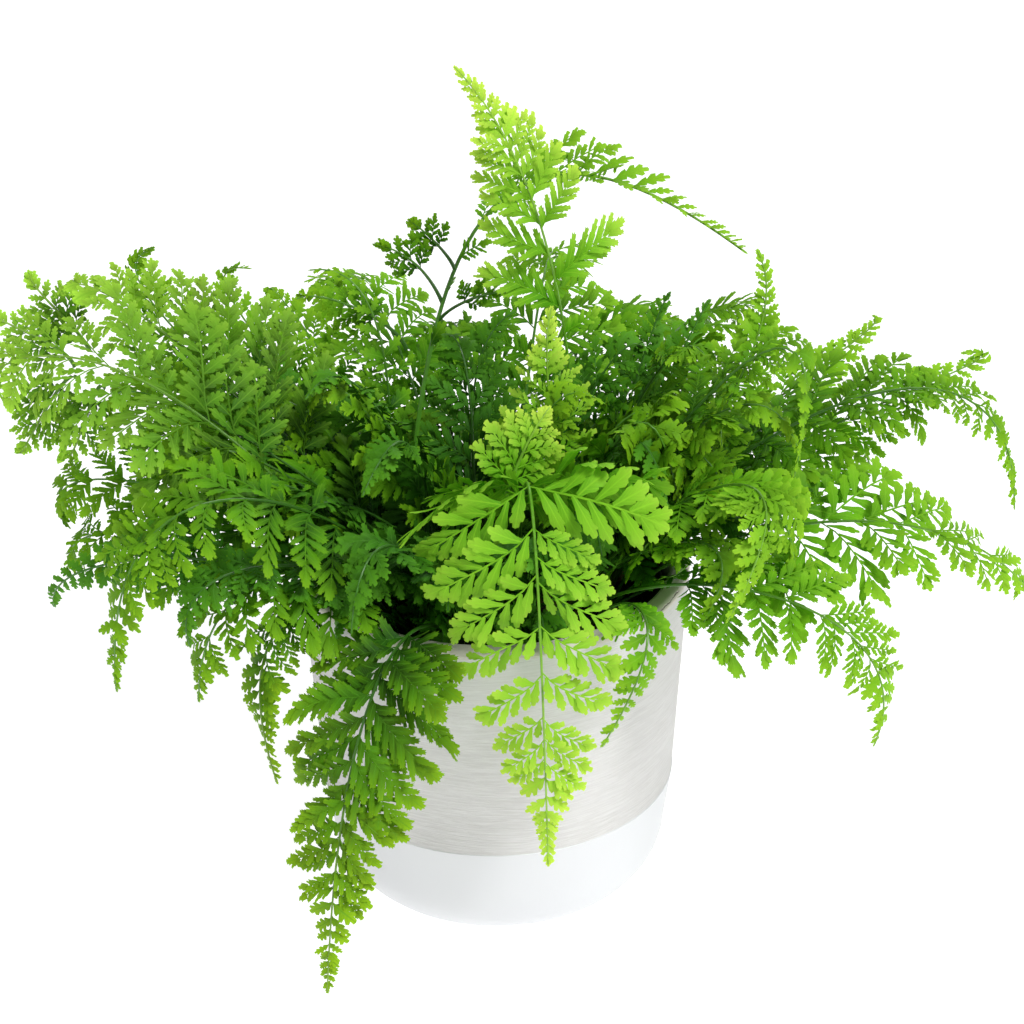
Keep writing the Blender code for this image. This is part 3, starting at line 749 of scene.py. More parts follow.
def lathe(name: str, profile: list[tuple[float, float]], segments: int) -> bpy.types.Object:
    """Throw a round piece: a disc whose edge is drawn out and scaled ring after ring.

    A profile starts and ends with a disc of radius HUB.

    Args:
        name: Name of the piece.
        profile: Radius and height of each ring in mm, from the underside round to the inside.
        segments: Number of sides.

    Returns:
        The closed piece, with its place in its mesh.
    """
    deselect_all()
    radius, height = profile[0]
    bpy.ops.mesh.primitive_circle_add(vertices=segments, radius=radius * MM, fill_type="NGON",
                                      location=(0, 0, height * MM))
    piece = bpy.context.object
    piece.name = name
    piece.data.name = name
    settle_place(piece)
    edit_all()
    bpy.ops.mesh.select_mode(type="EDGE")
    bpy.ops.mesh.region_to_loop()
    for (radius, height), (next_radius, next_height) in zip(profile, profile[1:]):
        rise = (next_height - height) * MM
        bpy.ops.mesh.extrude_edges_move(TRANSFORM_OT_translate={"value": (0, 0, rise)})
        share = next_radius / radius
        bpy.ops.transform.resize(value=(share, share, 1), center_override=(0, 0, next_height * MM))
    bpy.ops.mesh.edge_face_add()
    bpy.ops.mesh.select_all(action="SELECT")
    bpy.ops.mesh.normals_make_consistent(inside=False)
    bpy.ops.object.mode_set(mode="OBJECT")
    return piece


@dataclass(frozen=True)
class CeramicPot:
    """The round pot: rounded foot, smooth white band, combed wall and soft rim."""

    height: float = 137.0
    top_radius: float = 75.0
    foot_radius: float = 67.0
    wall: float = 8.0
    foot_round: float = 25.0
    band_height: float = 47.0
    band_step: float = 0.3
    rim_round: float = 2.5
    bend_heights: tuple[float, ...] = (70.0, 92.0, 114.0)
    segments: int = 144
    round_steps: int = 9

    def wall_radius(self, height: float) -> float:
        """Outer radius of the straight side at a height."""
        return self.foot_radius + (self.top_radius - self.foot_radius) * height / self.height

    def profile(self) -> list[tuple[float, float]]:
        """List the rings, up the outside, over the rim and down to the inner floor.

        Returns:
            The rings as (radius, height).
        """
        top = self.height - self.rim_round
        inner_round = self.foot_round - self.wall
        inner_foot = self.foot_radius - self.wall
        band = self.wall_radius(self.band_height)
        rings = [(HUB, 0.0)]
        rings += arc((self.foot_radius - self.foot_round, self.foot_round), self.foot_round,
                     -90, 0, self.round_steps)
        rings += [(band + self.band_step - 0.08, self.band_height - self.band_step - 0.6),
                  (band + self.band_step, self.band_height - self.band_step),
                  (band + 0.04, self.band_height - 0.08), (band, self.band_height)]
        rings += [(self.wall_radius(z), z) for z in self.bend_heights]
        rings += arc((self.top_radius - self.rim_round, top), self.rim_round, 0, 90,
                     self.round_steps)
        rings += arc((self.top_radius - self.wall + self.rim_round, top), self.rim_round, 90, 180,
                     self.round_steps)
        rings += arc((inner_foot - inner_round, self.foot_round), inner_round, 0, -90,
                     self.round_steps)
        rings += [(HUB, self.wall)]
        return rings

    def build(self, finishes: Finishes) -> None:
        """Throw the pot and give its wall and its band their own finishes.

        Args:
            finishes: The shared shader groups.
        """
        pot = lathe("ceramic_pot", self.profile(), self.segments)
        pot.data.materials.append(ClayFinish().material("combed_clay", finishes))
        pot.data.materials.append(BandFinish().material("white_band", finishes))
        edge = (self.band_height - 0.5 * self.band_step) * MM
        for face in pot.data.polygons:
            outside = Vector(face.center[:2]).length > (self.foot_radius - self.wall) * MM
            low = face.center.z < edge and (outside or face.normal.z < 0)
            face.material_index = 1 if low else 0
        pick(pot)
        bpy.ops.object.shade_smooth_by_angle(angle=math.radians(SHARP))
        join_the_plant(pot, "pot", "pot")


@dataclass(frozen=True)
class NurseryPot:
    """The thin black plastic pot that stands inside, with its rolled lip."""

    top: float = 128.0
    top_radius: float = 65.0
    foot_radius: float = 40.0
    floor: float = 8.3
    wall: float = 1.2
    base_height: float = 8.0
    bend_heights: tuple[float, float] = (60.0, 112.0)
    lip_steps: int = 5
    segments: int = 96
    plastic: MottledFinish = MottledFinish((0.010, 0.010, 0.011), (0.020, 0.020, 0.022), 40.0,
                                           700.0, 0.42, 0.00008)

    def radius(self, height: float) -> float:
        """Outer radius at a height."""
        share = (height - self.base_height) / (self.top - self.base_height)
        return self.foot_radius + (self.top_radius - self.foot_radius) * share

    def build(self, finishes: Finishes) -> None:
        """Mould the pot as one thin shell with a rounded lip.

        Args:
            finishes: The shared shader groups.
        """
        lip = 0.5 * self.wall
        heights = (*self.bend_heights, self.top - lip)
        rings = [(HUB, self.floor), (self.radius(self.floor), self.floor)]
        rings += [(self.radius(z), z) for z in heights]
        rings += arc((self.top_radius - lip, self.top - lip), lip, 20, 160, self.lip_steps)
        rings += [(self.radius(z) - self.wall, z) for z in reversed(heights)]
        inner_floor = self.floor + self.wall
        rings += [(self.radius(self.floor) - self.wall, inner_floor), (HUB, inner_floor)]
        pot = lathe("nursery_pot", rings, self.segments)
        pot.data.materials.append(self.plastic.material("black_plastic", finishes))
        pick(pot)
        bpy.ops.object.shade_smooth_by_angle(angle=math.radians(SHARP))
        join_the_plant(pot, "grow_pot", "grow_pot")


@dataclass(frozen=True)
class PottingMix:
    """The dark mix: a crowned bed strewn with crumbs of peat and bark."""

    edge: float = 59.8
    floor: float = 10.0
    foot_radius: float = 38.5
    top: float = 112.0
    crown: float = 3.0
    crown_edge: float = 60.17
    sunk: float = 0.6
    ring_shares: tuple[float, ...] = (1.0, 0.85, 0.7, 0.55, 0.4, 0.25, 0.1)
    segments: int = 72
    crumbs: int = 700
    largest: float = 3.6
    least: float = 0.6
    strewn_share: float = 0.97
    seed: int = 11
    peat: MottledFinish = MottledFinish((0.005, 0.0035, 0.0025), (0.022, 0.014, 0.009), 160.0,
                                        900.0, 0.95, 0.0005)

    def height(self, radius: float) -> float:
        """Height of the bed at a radius."""
        return self.top + self.crown * (1.0 - (radius / self.crown_edge) ** 2)

    def crumb(self) -> tuple[np.ndarray, np.ndarray]:
        """Model one crumb: a small ball, pressed flat and made uneven.

        Returns:
            Its points, about 1 across, and its triangles.
        """
        deselect_all()
        bpy.ops.mesh.primitive_ico_sphere_add(subdivisions=1, radius=0.5, location=(0, 0, 0))
        ball = bpy.context.object
        edit_all()
        bpy.ops.transform.resize(value=(1.0, 0.7, 0.5))
        bpy.ops.transform.vertex_random(offset=0.09, seed=4)
        bpy.ops.mesh.quads_convert_to_tris()
        bpy.ops.object.mode_set(mode="OBJECT")
        return take_mesh(ball)

    def build(self, finishes: Finishes) -> None:
        """Fill the nursery pot and strew the crumbs over the bed.

        Args:
            finishes: The shared shader groups.
        """
        rings = [(HUB, self.floor), (self.foot_radius, self.floor)]
        rings += [(self.edge * share, self.height(self.edge * share) - self.sunk)
                  for share in self.ring_shares]
        bed = lathe("potting_mix", rings, self.segments)
        points, triangles = take_mesh(bed)
        parts = Parts()
        parts.add(points / MM, triangles)
        rng = np.random.default_rng(self.seed)
        crumb, crumb_faces = self.crumb()
        for _ in range(self.crumbs):
            radius = self.edge * self.strewn_share * math.sqrt(rng.random())
            azimuth = rng.uniform(0, 2 * math.pi)
            size = self.largest * rng.uniform(0.3, 1.0) ** 1.6 + self.least
            turn = rotation(rng.normal(size=3), rng.uniform(0, 60)) @ rotation(
                (0, 0, 1), rng.uniform(0, 360))
            place = (radius * math.cos(azimuth), radius * math.sin(azimuth), self.height(radius))
            parts.add(crumb @ turn.T * size + place, crumb_faces)
        mix = parts.piece("potting_mix", [self.peat.material("peat_and_bark", finishes)])
        join_the_plant(mix, "soil", "soil")


def take_mesh(model: bpy.types.Object) -> tuple[np.ndarray, np.ndarray]:
    """Read a model's points and triangles and remove the model.

    Args:
        model: An object whose mesh is to be copied.

    Returns:
        Its points in its own units and its triangles.
    """
    mesh = model.data
    mesh.calc_loop_triangles()
    points = np.array([vertex.co[:] for vertex in mesh.vertices])
    triangles = np.array([triangle.vertices[:] for triangle in mesh.loop_triangles])
    bpy.data.objects.remove(model)
    bpy.data.meshes.remove(mesh)
    return points, triangles


def tube_triangles(rings: int, sides: int) -> np.ndarray:
    """Triangles of a closed tube whose points lie ring after ring.

    Args:
        rings: Number of rings.
        sides: Number of points in each ring.

    Returns:
        The triangles, with a flat fan at both ends.
    """
    faces = []
    for ring in range(rings - 1):
        for side in range(sides):
            low, next_low = ring * sides + side, ring * sides + (side + 1) % sides
            faces += [(low, next_low, next_low + sides), (low, next_low + sides, low + sides)]
    last = (rings - 1) * sides
    for side in range(1, sides - 1):
        faces += [(0, side + 1, side), (last, last + side, last + side + 1)]
    return np.array(faces)


class Parts:
    """Points, triangles, finishes and maps of one piece that is put together from copies.

    Edges sharper than SMOOTH_ANGLE degrees stay crisp.
    """

    SMOOTH_ANGLE = 50.0

    def __init__(self) -> None:
        """Start an empty piece."""
        self.points: list[np.ndarray] = []
        self.triangles: list[np.ndarray] = []
        self.finish: list[np.ndarray] = []
        self.leaflet: list[np.ndarray] = []
        self.growth: list[np.ndarray] = []
        self.count = 0

    def add(self, points: np.ndarray, triangles: np.ndarray, finish: int = 0,
            leaflet: np.ndarray | None = None, growth: np.ndarray | None = None) -> None:
        """Add one closed shape, with its faces turned outwards.

        Args:
            points: Its points in mm.
            triangles: Its triangles, all turned the same way.
            finish: Number of its material.
            leaflet: Place of each point along and across its leaflet.
            growth: Share of the frond's length and a chance number for each point.
        """
        blank = np.zeros((len(points), 2))
        first, second, third = (points[corner] - points[0] for corner in triangles.T)
        if np.einsum("ij,ij->", first, np.cross(second, third)) < 0:
            triangles = triangles[:, ::-1]
        self.points.append(points)
        self.triangles.append(triangles + self.count)
        self.finish.append(np.full(len(triangles), finish))
        self.leaflet.append(blank if leaflet is None else leaflet)
        self.growth.append(blank if growth is None else growth)
        self.count += len(points)

    def piece(self, name: str, materials: list[bpy.types.Material]) -> bpy.types.Object:
        """Make the object of all that was added.

        Args:
            name: Name of the piece.
            materials: Its finishes, in the order of their numbers.

        Returns:
            The new object, linked to the scene.
        """
        points = np.concatenate(self.points) * MM
        triangles = np.concatenate(self.triangles)
        mesh = bpy.data.meshes.new(name)
        mesh.from_pydata(points, [], triangles)
        corners = np.empty(len(mesh.loops), int)
        mesh.loops.foreach_get("vertex_index", corners)
        for label, values in (("leaflet", self.leaflet), ("growth", self.growth)):
            layer = mesh.uv_layers.new(name=label)
            layer.data.foreach_set("uv", np.concatenate(values)[corners].astype(np.float32).ravel())
        mesh.polygons.foreach_set("material_index", np.concatenate(self.finish).astype(np.int32))
        for material in materials:
            mesh.materials.append(material)
        piece = bpy.data.objects.new(name, mesh)
        bpy.context.scene.collection.objects.link(piece)
        pick(piece)
        bpy.ops.object.shade_smooth_by_angle(angle=math.radians(self.SMOOTH_ANGLE))
        return piece


@dataclass(frozen=True)
class LeafletMould:
    """One toothed leaflet of unit length and width, which is copied on to each pinna.

    Each row gives the midrib's place along the leaflet and the places (along, across) of the
    left and right edge there: teeth and the notches between them take turns.
    """

    rows: tuple[tuple[float, Point, Point], ...]
    crown: float

    def model(self) -> tuple[np.ndarray, np.ndarray]:
        """Shape a grid into the leaflet and close its underside.

        Returns:
            Its points in units of its length and width, and its triangles.
        """
        deselect_all()
        count = len(self.rows) + 2
        bpy.ops.mesh.primitive_grid_add(x_subdivisions=count - 1, y_subdivisions=2, size=1.0,
                                        location=(0, 0, 0))
        leaf = bpy.context.object
        edit_all()
        bpy.ops.transform.translate(value=(0.5, 0, 0))
        bpy.ops.object.mode_set(mode="OBJECT")
        places = np.array([vertex.co[:] for vertex in leaf.data.vertices])
        for step, (middle, left, right) in enumerate(self.rows, 1):
            column = np.flatnonzero(np.abs(places[:, 0] - step / (count - 1)) < SAME_PLACE)
            targets = ((middle, 0.0, self.crown), (*left, 0.0), (*right, 0.0))
            for side, target in zip((0.0, 0.5, -0.5), targets):
                number = column[np.argmin(np.abs(places[column, 1] - side))]
                select_points(leaf, [number])
                bpy.ops.transform.translate(value=tuple(np.array(target) - places[number]))
                bpy.ops.object.mode_set(mode="OBJECT")
        for end in (0.0, 1.0):
            select_points(leaf, np.flatnonzero(np.abs(places[:, 0] - end) < SAME_PLACE))
            bpy.ops.mesh.merge(type="CENTER")
            bpy.ops.object.mode_set(mode="OBJECT")
            places = np.array([vertex.co[:] for vertex in leaf.data.vertices])
        edit_all()
        bpy.ops.mesh.region_to_loop()
        bpy.ops.mesh.edge_face_add()
        bpy.ops.mesh.select_all(action="SELECT")
        bpy.ops.mesh.quads_convert_to_tris(ngon_method="BEAUTY")
        bpy.ops.mesh.normals_make_consistent(inside=False)
        bpy.ops.object.mode_set(mode="OBJECT")
        return take_mesh(leaf)


LEAFLETS = {
    "lobed": LeafletMould((
        (0.10, (0.08, 0.10), (0.10, -0.08)), (0.22, (0.25, 0.36), (0.23, -0.33)),
        (0.30, (0.36, 0.38), (0.34, -0.35)), (0.35, (0.37, 0.20), (0.36, -0.18)),
        (0.44, (0.51, 0.48), (0.48, -0.44)), (0.53, (0.63, 0.45), (0.60, -0.41)),
        (0.59, (0.61, 0.23), (0.60, -0.20)), (0.68, (0.77, 0.40), (0.74, -0.36)),
        (0.76, (0.87, 0.31), (0.84, -0.28)), (0.82, (0.83, 0.15), (0.82, -0.13)),
        (0.92, (0.98, 0.15), (0.96, -0.12)),
    ), 0.06),
    "oblong": LeafletMould((
        (0.05, (-0.12, 0.48), (0.17, -0.44)), (0.28, (0.24, 0.43), (0.34, -0.39)),
        (0.47, (0.56, 0.47), (0.53, -0.42)), (0.56, (0.57, 0.33), (0.56, -0.29)),
        (0.71, (0.81, 0.43), (0.76, -0.39)), (0.78, (0.78, 0.25), (0.77, -0.22)),
        (0.89, (0.97, 0.28), (0.93, -0.25)), (0.93, (0.90, 0.10), (0.90, -0.08)),
    ), 0.05),
    "fan": LeafletMould((
        (0.06, (0.02, 0.16), (0.08, -0.13)), (0.26, (0.24, 0.25), (0.28, -0.21)),
        (0.42, (0.47, 0.43), (0.46, -0.38)), (0.52, (0.59, 0.42), (0.57, -0.37)),
        (0.58, (0.60, 0.33), (0.59, -0.29)), (0.70, (0.76, 0.49), (0.73, -0.44)),
        (0.79, (0.87, 0.40), (0.84, -0.36)), (0.84, (0.85, 0.25), (0.84, -0.22)),
        (0.93, (0.98, 0.21), (0.95, -0.18)),
    ), 0.06),
    "wedge": LeafletMould((
        (0.06, (0.00, 0.24), (0.08, -0.20)), (0.32, (0.30, 0.35), (0.32, -0.31)),
        (0.48, (0.57, 0.48), (0.53, -0.43)), (0.58, (0.59, 0.37), (0.57, -0.33)),
        (0.72, (0.82, 0.48), (0.77, -0.43)), (0.79, (0.80, 0.31), (0.78, -0.27)),
        (0.89, (0.98, 0.32), (0.94, -0.28)), (0.93, (0.92, 0.12), (0.91, -0.10)),
    ), 0.06),
    "small_oblong": LeafletMould((
        (0.08, (-0.10, 0.50), (0.16, -0.46)), (0.52, (0.64, 0.44), (0.60, -0.40)),
        (0.68, (0.67, 0.27), (0.66, -0.24)), (0.87, (0.97, 0.27), (0.93, -0.23)),
    ), 0.06),
    "small_wedge": LeafletMould((
        (0.10, (0.03, 0.25), (0.11, -0.21)), (0.50, (0.63, 0.47), (0.58, -0.42)),
        (0.67, (0.67, 0.29), (0.65, -0.25)), (0.87, (0.98, 0.32), (0.94, -0.28)),
    ), 0.06),
}


@dataclass(frozen=True)
class Habit:
    """How a frond sets its pinnae: how full, how broad, how deeply cut, and what departs."""

    fill_share: float = 0.48
    width_share: float = 0.20
    least_width: float = 0.15
    shape: str = "wedge"
    overlap: float = 1.20
    length_share: float = 1.0
    stoutness: float = 1.0
    raised: float = 0.0
    swept: float = 0.0
    feathered_from: float = 12.0
    lobed_from: float = 99.0
    fused_width: float = 0.56
    unrest: float = 1.0
    open_below: float = 0.0
    end_youth: float = 0.55
    shortened: tuple[tuple[int, int, float], ...] = ()


COMMON = Habit()
CLOSED = Habit(0.60, 0.25, 0.18, "oblong", 1.25)
SIDE_SPRAY = Habit(9.0, 0.30, 0.24, "fan", 1.4, feathered_from=7.0)
HABITS = {
    "tall_1": Habit(0.42, 0.24, 0.17, "oblong", 1.10, open_below=0.42, unrest=1.2,
                    shortened=((1, 0, 0.5),)),
    "tall_2": Habit(0.45, feathered_from=15.0, fused_width=0.36, stoutness=1.4, raised=0.62,
                    swept=14.0, open_below=0.3,
                    shortened=((-1, 1, 0.45), (1, 0, 0.5), (1, 2, 0.6), (-1, 3, 0.6), (1, 3, 0.5))),
    "tall_3": Habit(9.0, length_share=0.74),
    "front_1": Habit(0.24, 0.20, 0.18, "oblong", 1.28, unrest=1.4),
    "front_2": Habit(0.52, 0.235, 0.205, "fan", 1.45, unrest=0.8, swept=-8.0, end_youth=0.25,
                     shortened=((-1, 0, 0.6), (1, 0, 0.6), (-1, 3, 0.55), (-1, 4, 0.85))),
    "front_3": Habit(0.5, 0.20, 0.15, shortened=((1, 0, 0.4), (-1, 0, 0.4), (-1, 1, 0.7))),
    "right_5": Habit(0.5, 0.24, 0.18, "fan", 1.3, unrest=1.2),
    "left_1": Habit(0.40, 0.22, 0.17, overlap=1.25, lobed_from=6.0, unrest=1.5, end_youth=0.4),
    "left_2": Habit(0.40, 0.22, 0.17, overlap=1.25, lobed_from=6.0, unrest=1.2, end_youth=0.4),
    "left_3": Habit(0.5, 0.20, 0.15, "oblong", 1.05),
    "left_6": Habit(0.5, 0.20, 0.15, "oblong", 1.05),
}


@dataclass(frozen=True)
class Growth:
    """How the CAD lays a frond out, how fine its stalks are and where the pot's wall is, in mm."""

    soil_top: float = 112.0
    soil_crown: float = 3.0
    soil_edge: float = 60.1667
    rise: float = 0.55
    lean: float = 0.35
    samples: int = 64
    arch: float = 0.16
    blade_end: float = 0.96
    crowding: float = 1.25
    pinna_angle: float = 66.0
    pinna_closing: float = 22.0
    first_pinna: float = 0.8
    shoulder: float = 0.15
    taper: float = 0.85
    turn_steps: tuple[int, ...] = (0, -3, 3, -6, 6, -9, 9, -12, 12)
    lift_steps: tuple[int, ...] = (0, 3, -3, 6, -6, 9)
    twist_steps: tuple[int, ...] = (0, 12, -12, 24, -24, 36, -36)
    lift_cost: float = 1.2
    twist_cost: float = 0.3
    good_fit: float = 0.55
    near_share: float = 0.7
    lost_tip: float = 1.6
    stop_step: float = 1.0
    past_tip: float = 20.0
    stalk_foot: float = 0.85
    stalk_tip: float = 0.3
    stalk_depth: float = 8.0
    spray_depth: float = 0.5
    root_lag: float = 0.11
    lag_reach: float = 0.13
    wall_radii: tuple[float, float] = (64.5, 76.5)
    rim_top: float = 137.8

    def in_wall(self, points: np.ndarray) -> bool:
        """Whether any of some points lies in the pot's wall."""
        radius = np.hypot(points[:, 0], points[:, 1])
        inner, outer = self.wall_radii
        return bool(np.any((radius > inner) & (radius < outer) & (points[:, 2] < self.rim_top)))

    def ground(self, root: tuple[float, float]) -> np.ndarray:
        """Point at which a stalk leaves the soil."""
        azimuth, radius = math.radians(root[0]), root[1]
        height = self.soil_top + self.soil_crown * (1.0 - (radius / self.soil_edge) ** 2)
        return np.array([radius * math.cos(azimuth), radius * math.sin(azimuth), height])

    def poses(self) -> list[tuple[int, int, int]]:
        """Small turns of a whole frond that the CAD may have made, the least first."""
        steps = [(turn, lift, twist) for turn in self.turn_steps for lift in self.lift_steps
                 for twist in self.twist_steps]
        costs = (1.0, self.lift_cost, self.twist_cost)
        return sorted(steps, key=lambda step: sum(c * abs(a) for c, a in zip(costs, step)))


GROWTH = Growth()


class Surface:
    """The arched sheet of one CAD frond, as a map from (distance, across, height) to places."""

    def __init__(self, frond: Frond) -> None:
        """Lay the frond's curve out and sample its frame along it.

        Args:
            frond: The frond's layout.
        """
        self.frond = frond
        self.root = np.array(frond.start) if frond.start else GROWTH.ground(frond.root)
        middle, tip = np.array(frond.middle, float), np.array(frond.tip, float)
        reach = middle - self.root
        flat = np.linalg.norm(reach[:2])
        outward = unit(reach * (1, 1, 0)) if flat > 1 else np.zeros(3)
        rise = self.root + GROWTH.rise * np.linalg.norm(reach) * unit(
            GROWTH.lean * outward + (0, 0, 1))
        pull = (8 * middle - self.root - 3 * rise - tip) / 3
        t = np.linspace(0, 1, GROWTH.samples + 1)[:, None]
        curve = ((1 - t) ** 3 * self.root + 3 * (1 - t) ** 2 * t * rise
                 + 3 * (1 - t) * t ** 2 * pull + t ** 3 * tip)
        steps = np.linalg.norm(np.diff(curve, axis=0), axis=1)
        lengths = np.concatenate([[0.0], np.cumsum(steps)])
        self.length = lengths[-1]
        self.half_width = frond.width / 2
        end = unit(curve[-1] - curve[-2])
        facing = math.radians(frond.facing)
        self.level_side = np.cross((0, 0, 1), (math.cos(facing), math.sin(facing), 0))
        self.stops = np.arange(0.0, self.length + GROWTH.past_tip, GROWTH.stop_step)

        def at(distance: np.ndarray) -> np.ndarray:
            """Points of the curve, going straight on past its tip."""
            inside = np.minimum(distance, self.length)
            points = np.stack([np.interp(inside, lengths, axis) for axis in curve.T], axis=1)
            return points + np.maximum(distance - self.length, 0.0)[:, None] * end

        here = np.clip(self.stops, 1.0, self.length - 1.0)
        along = at(here + 1.0) - at(here - 1.0)
        along /= np.linalg.norm(along, axis=1)[:, None]
        side = self.level_side - along * (along @ self.level_side)[:, None]
        side /= np.linalg.norm(side, axis=1)[:, None]
        face = np.cross(side, along)
        roll = math.radians(frond.roll) * np.minimum(1.0, here / (frond.bare * self.length))
        cos, sin = np.cos(roll)[:, None], np.sin(roll)[:, None]
        self.centres = at(self.stops)
        self.sides = cos * side + sin * face
        self.faces = cos * face - sin * side
        self.turn = np.eye(3)

    def sample(self, rows: np.ndarray, distance: np.ndarray) -> np.ndarray:
        """Interpolate rows that belong to the stops at given distances."""
        return np.stack([np.interp(distance, self.stops, axis) for axis in rows.T], axis=1)

    def place(self, distance: np.ndarray, across: np.ndarray, height: np.ndarray | float = 0.0,
              turned: bool = True) -> np.ndarray:
        """Points on or near the sheet.

        Args:
            distance: Distances along the frond in mm.
            across: Distances to its side in mm.
            height: Heights over its upper face in mm.
            turned: Whether the CAD's small turn of the frond is applied.

        Returns:
            The points in mm.
        """
        distance, across = np.atleast_1d(distance), np.atleast_1d(across)
        sag = GROWTH.arch * across ** 2 / self.half_width
        points = (self.sample(self.centres, distance)
                  + across[:, None] * self.sample(self.sides, distance)
                  + (height - sag)[:, None] * self.sample(self.faces, distance))
        if turned:
            points = self.root + (points - self.root) @ self.turn.T
        return points

    def shares(self) -> list[float]:
        """Places of the pinnae's roots along the blade, from 0 to 1."""
        pairs = self.frond.pairs
        return [1.0 - (1.0 - step / pairs) ** GROWTH.crowding for step in range(pairs + 1)]

    def pose_matrix(self, pose: tuple[int, int, int]) -> np.ndarray:
        """Matrix of a small turn, lift and twist about the root."""
        turn, lift, twist = pose
        chord = np.array(self.frond.tip, float) - self.root
        return (rotation((0, 0, 1), turn) @ rotation(self.level_side, lift)
                @ rotation(chord, twist))


@dataclass(frozen=True)
class Pinna:
    """One side branch of a frond, laid out in the frond's sheet."""

    start: float
    span: float
    angle: float
    length: float
    hand: int
    share: float

    def sheet_place(self, along: np.ndarray, off: np.ndarray) -> tuple[np.ndarray, np.ndarray]:
        """Distance and across in the sheet of points along and off this pinna's stalk."""
        distance = self.start + along * math.cos(self.angle) + off * math.sin(self.angle)
        across = along * math.sin(self.angle) - off * math.cos(self.angle)
        reach = GROWTH.lag_reach * self.length
        lag = GROWTH.root_lag * self.length * np.exp(-np.maximum(across, 0.0) / reach)
        return distance - lag, self.hand * across


@dataclass(frozen=True)
class Bend:
    """A pinna's own bow, tilt, droop, fold and roll, and its chance number for colour."""

    bow: float
    tilt: float
    droop: float
    fold: float
    roll: float
    chance: float


@dataclass(frozen=True)
class Spot:
    """A leaflet's place along its pinna, its angle, length, width, side and small turns."""

    along: float
    angle: float
    length: float
    width: float
    side: int
    twist: float
    tilt: float
    curl: float
    fused: bool = False


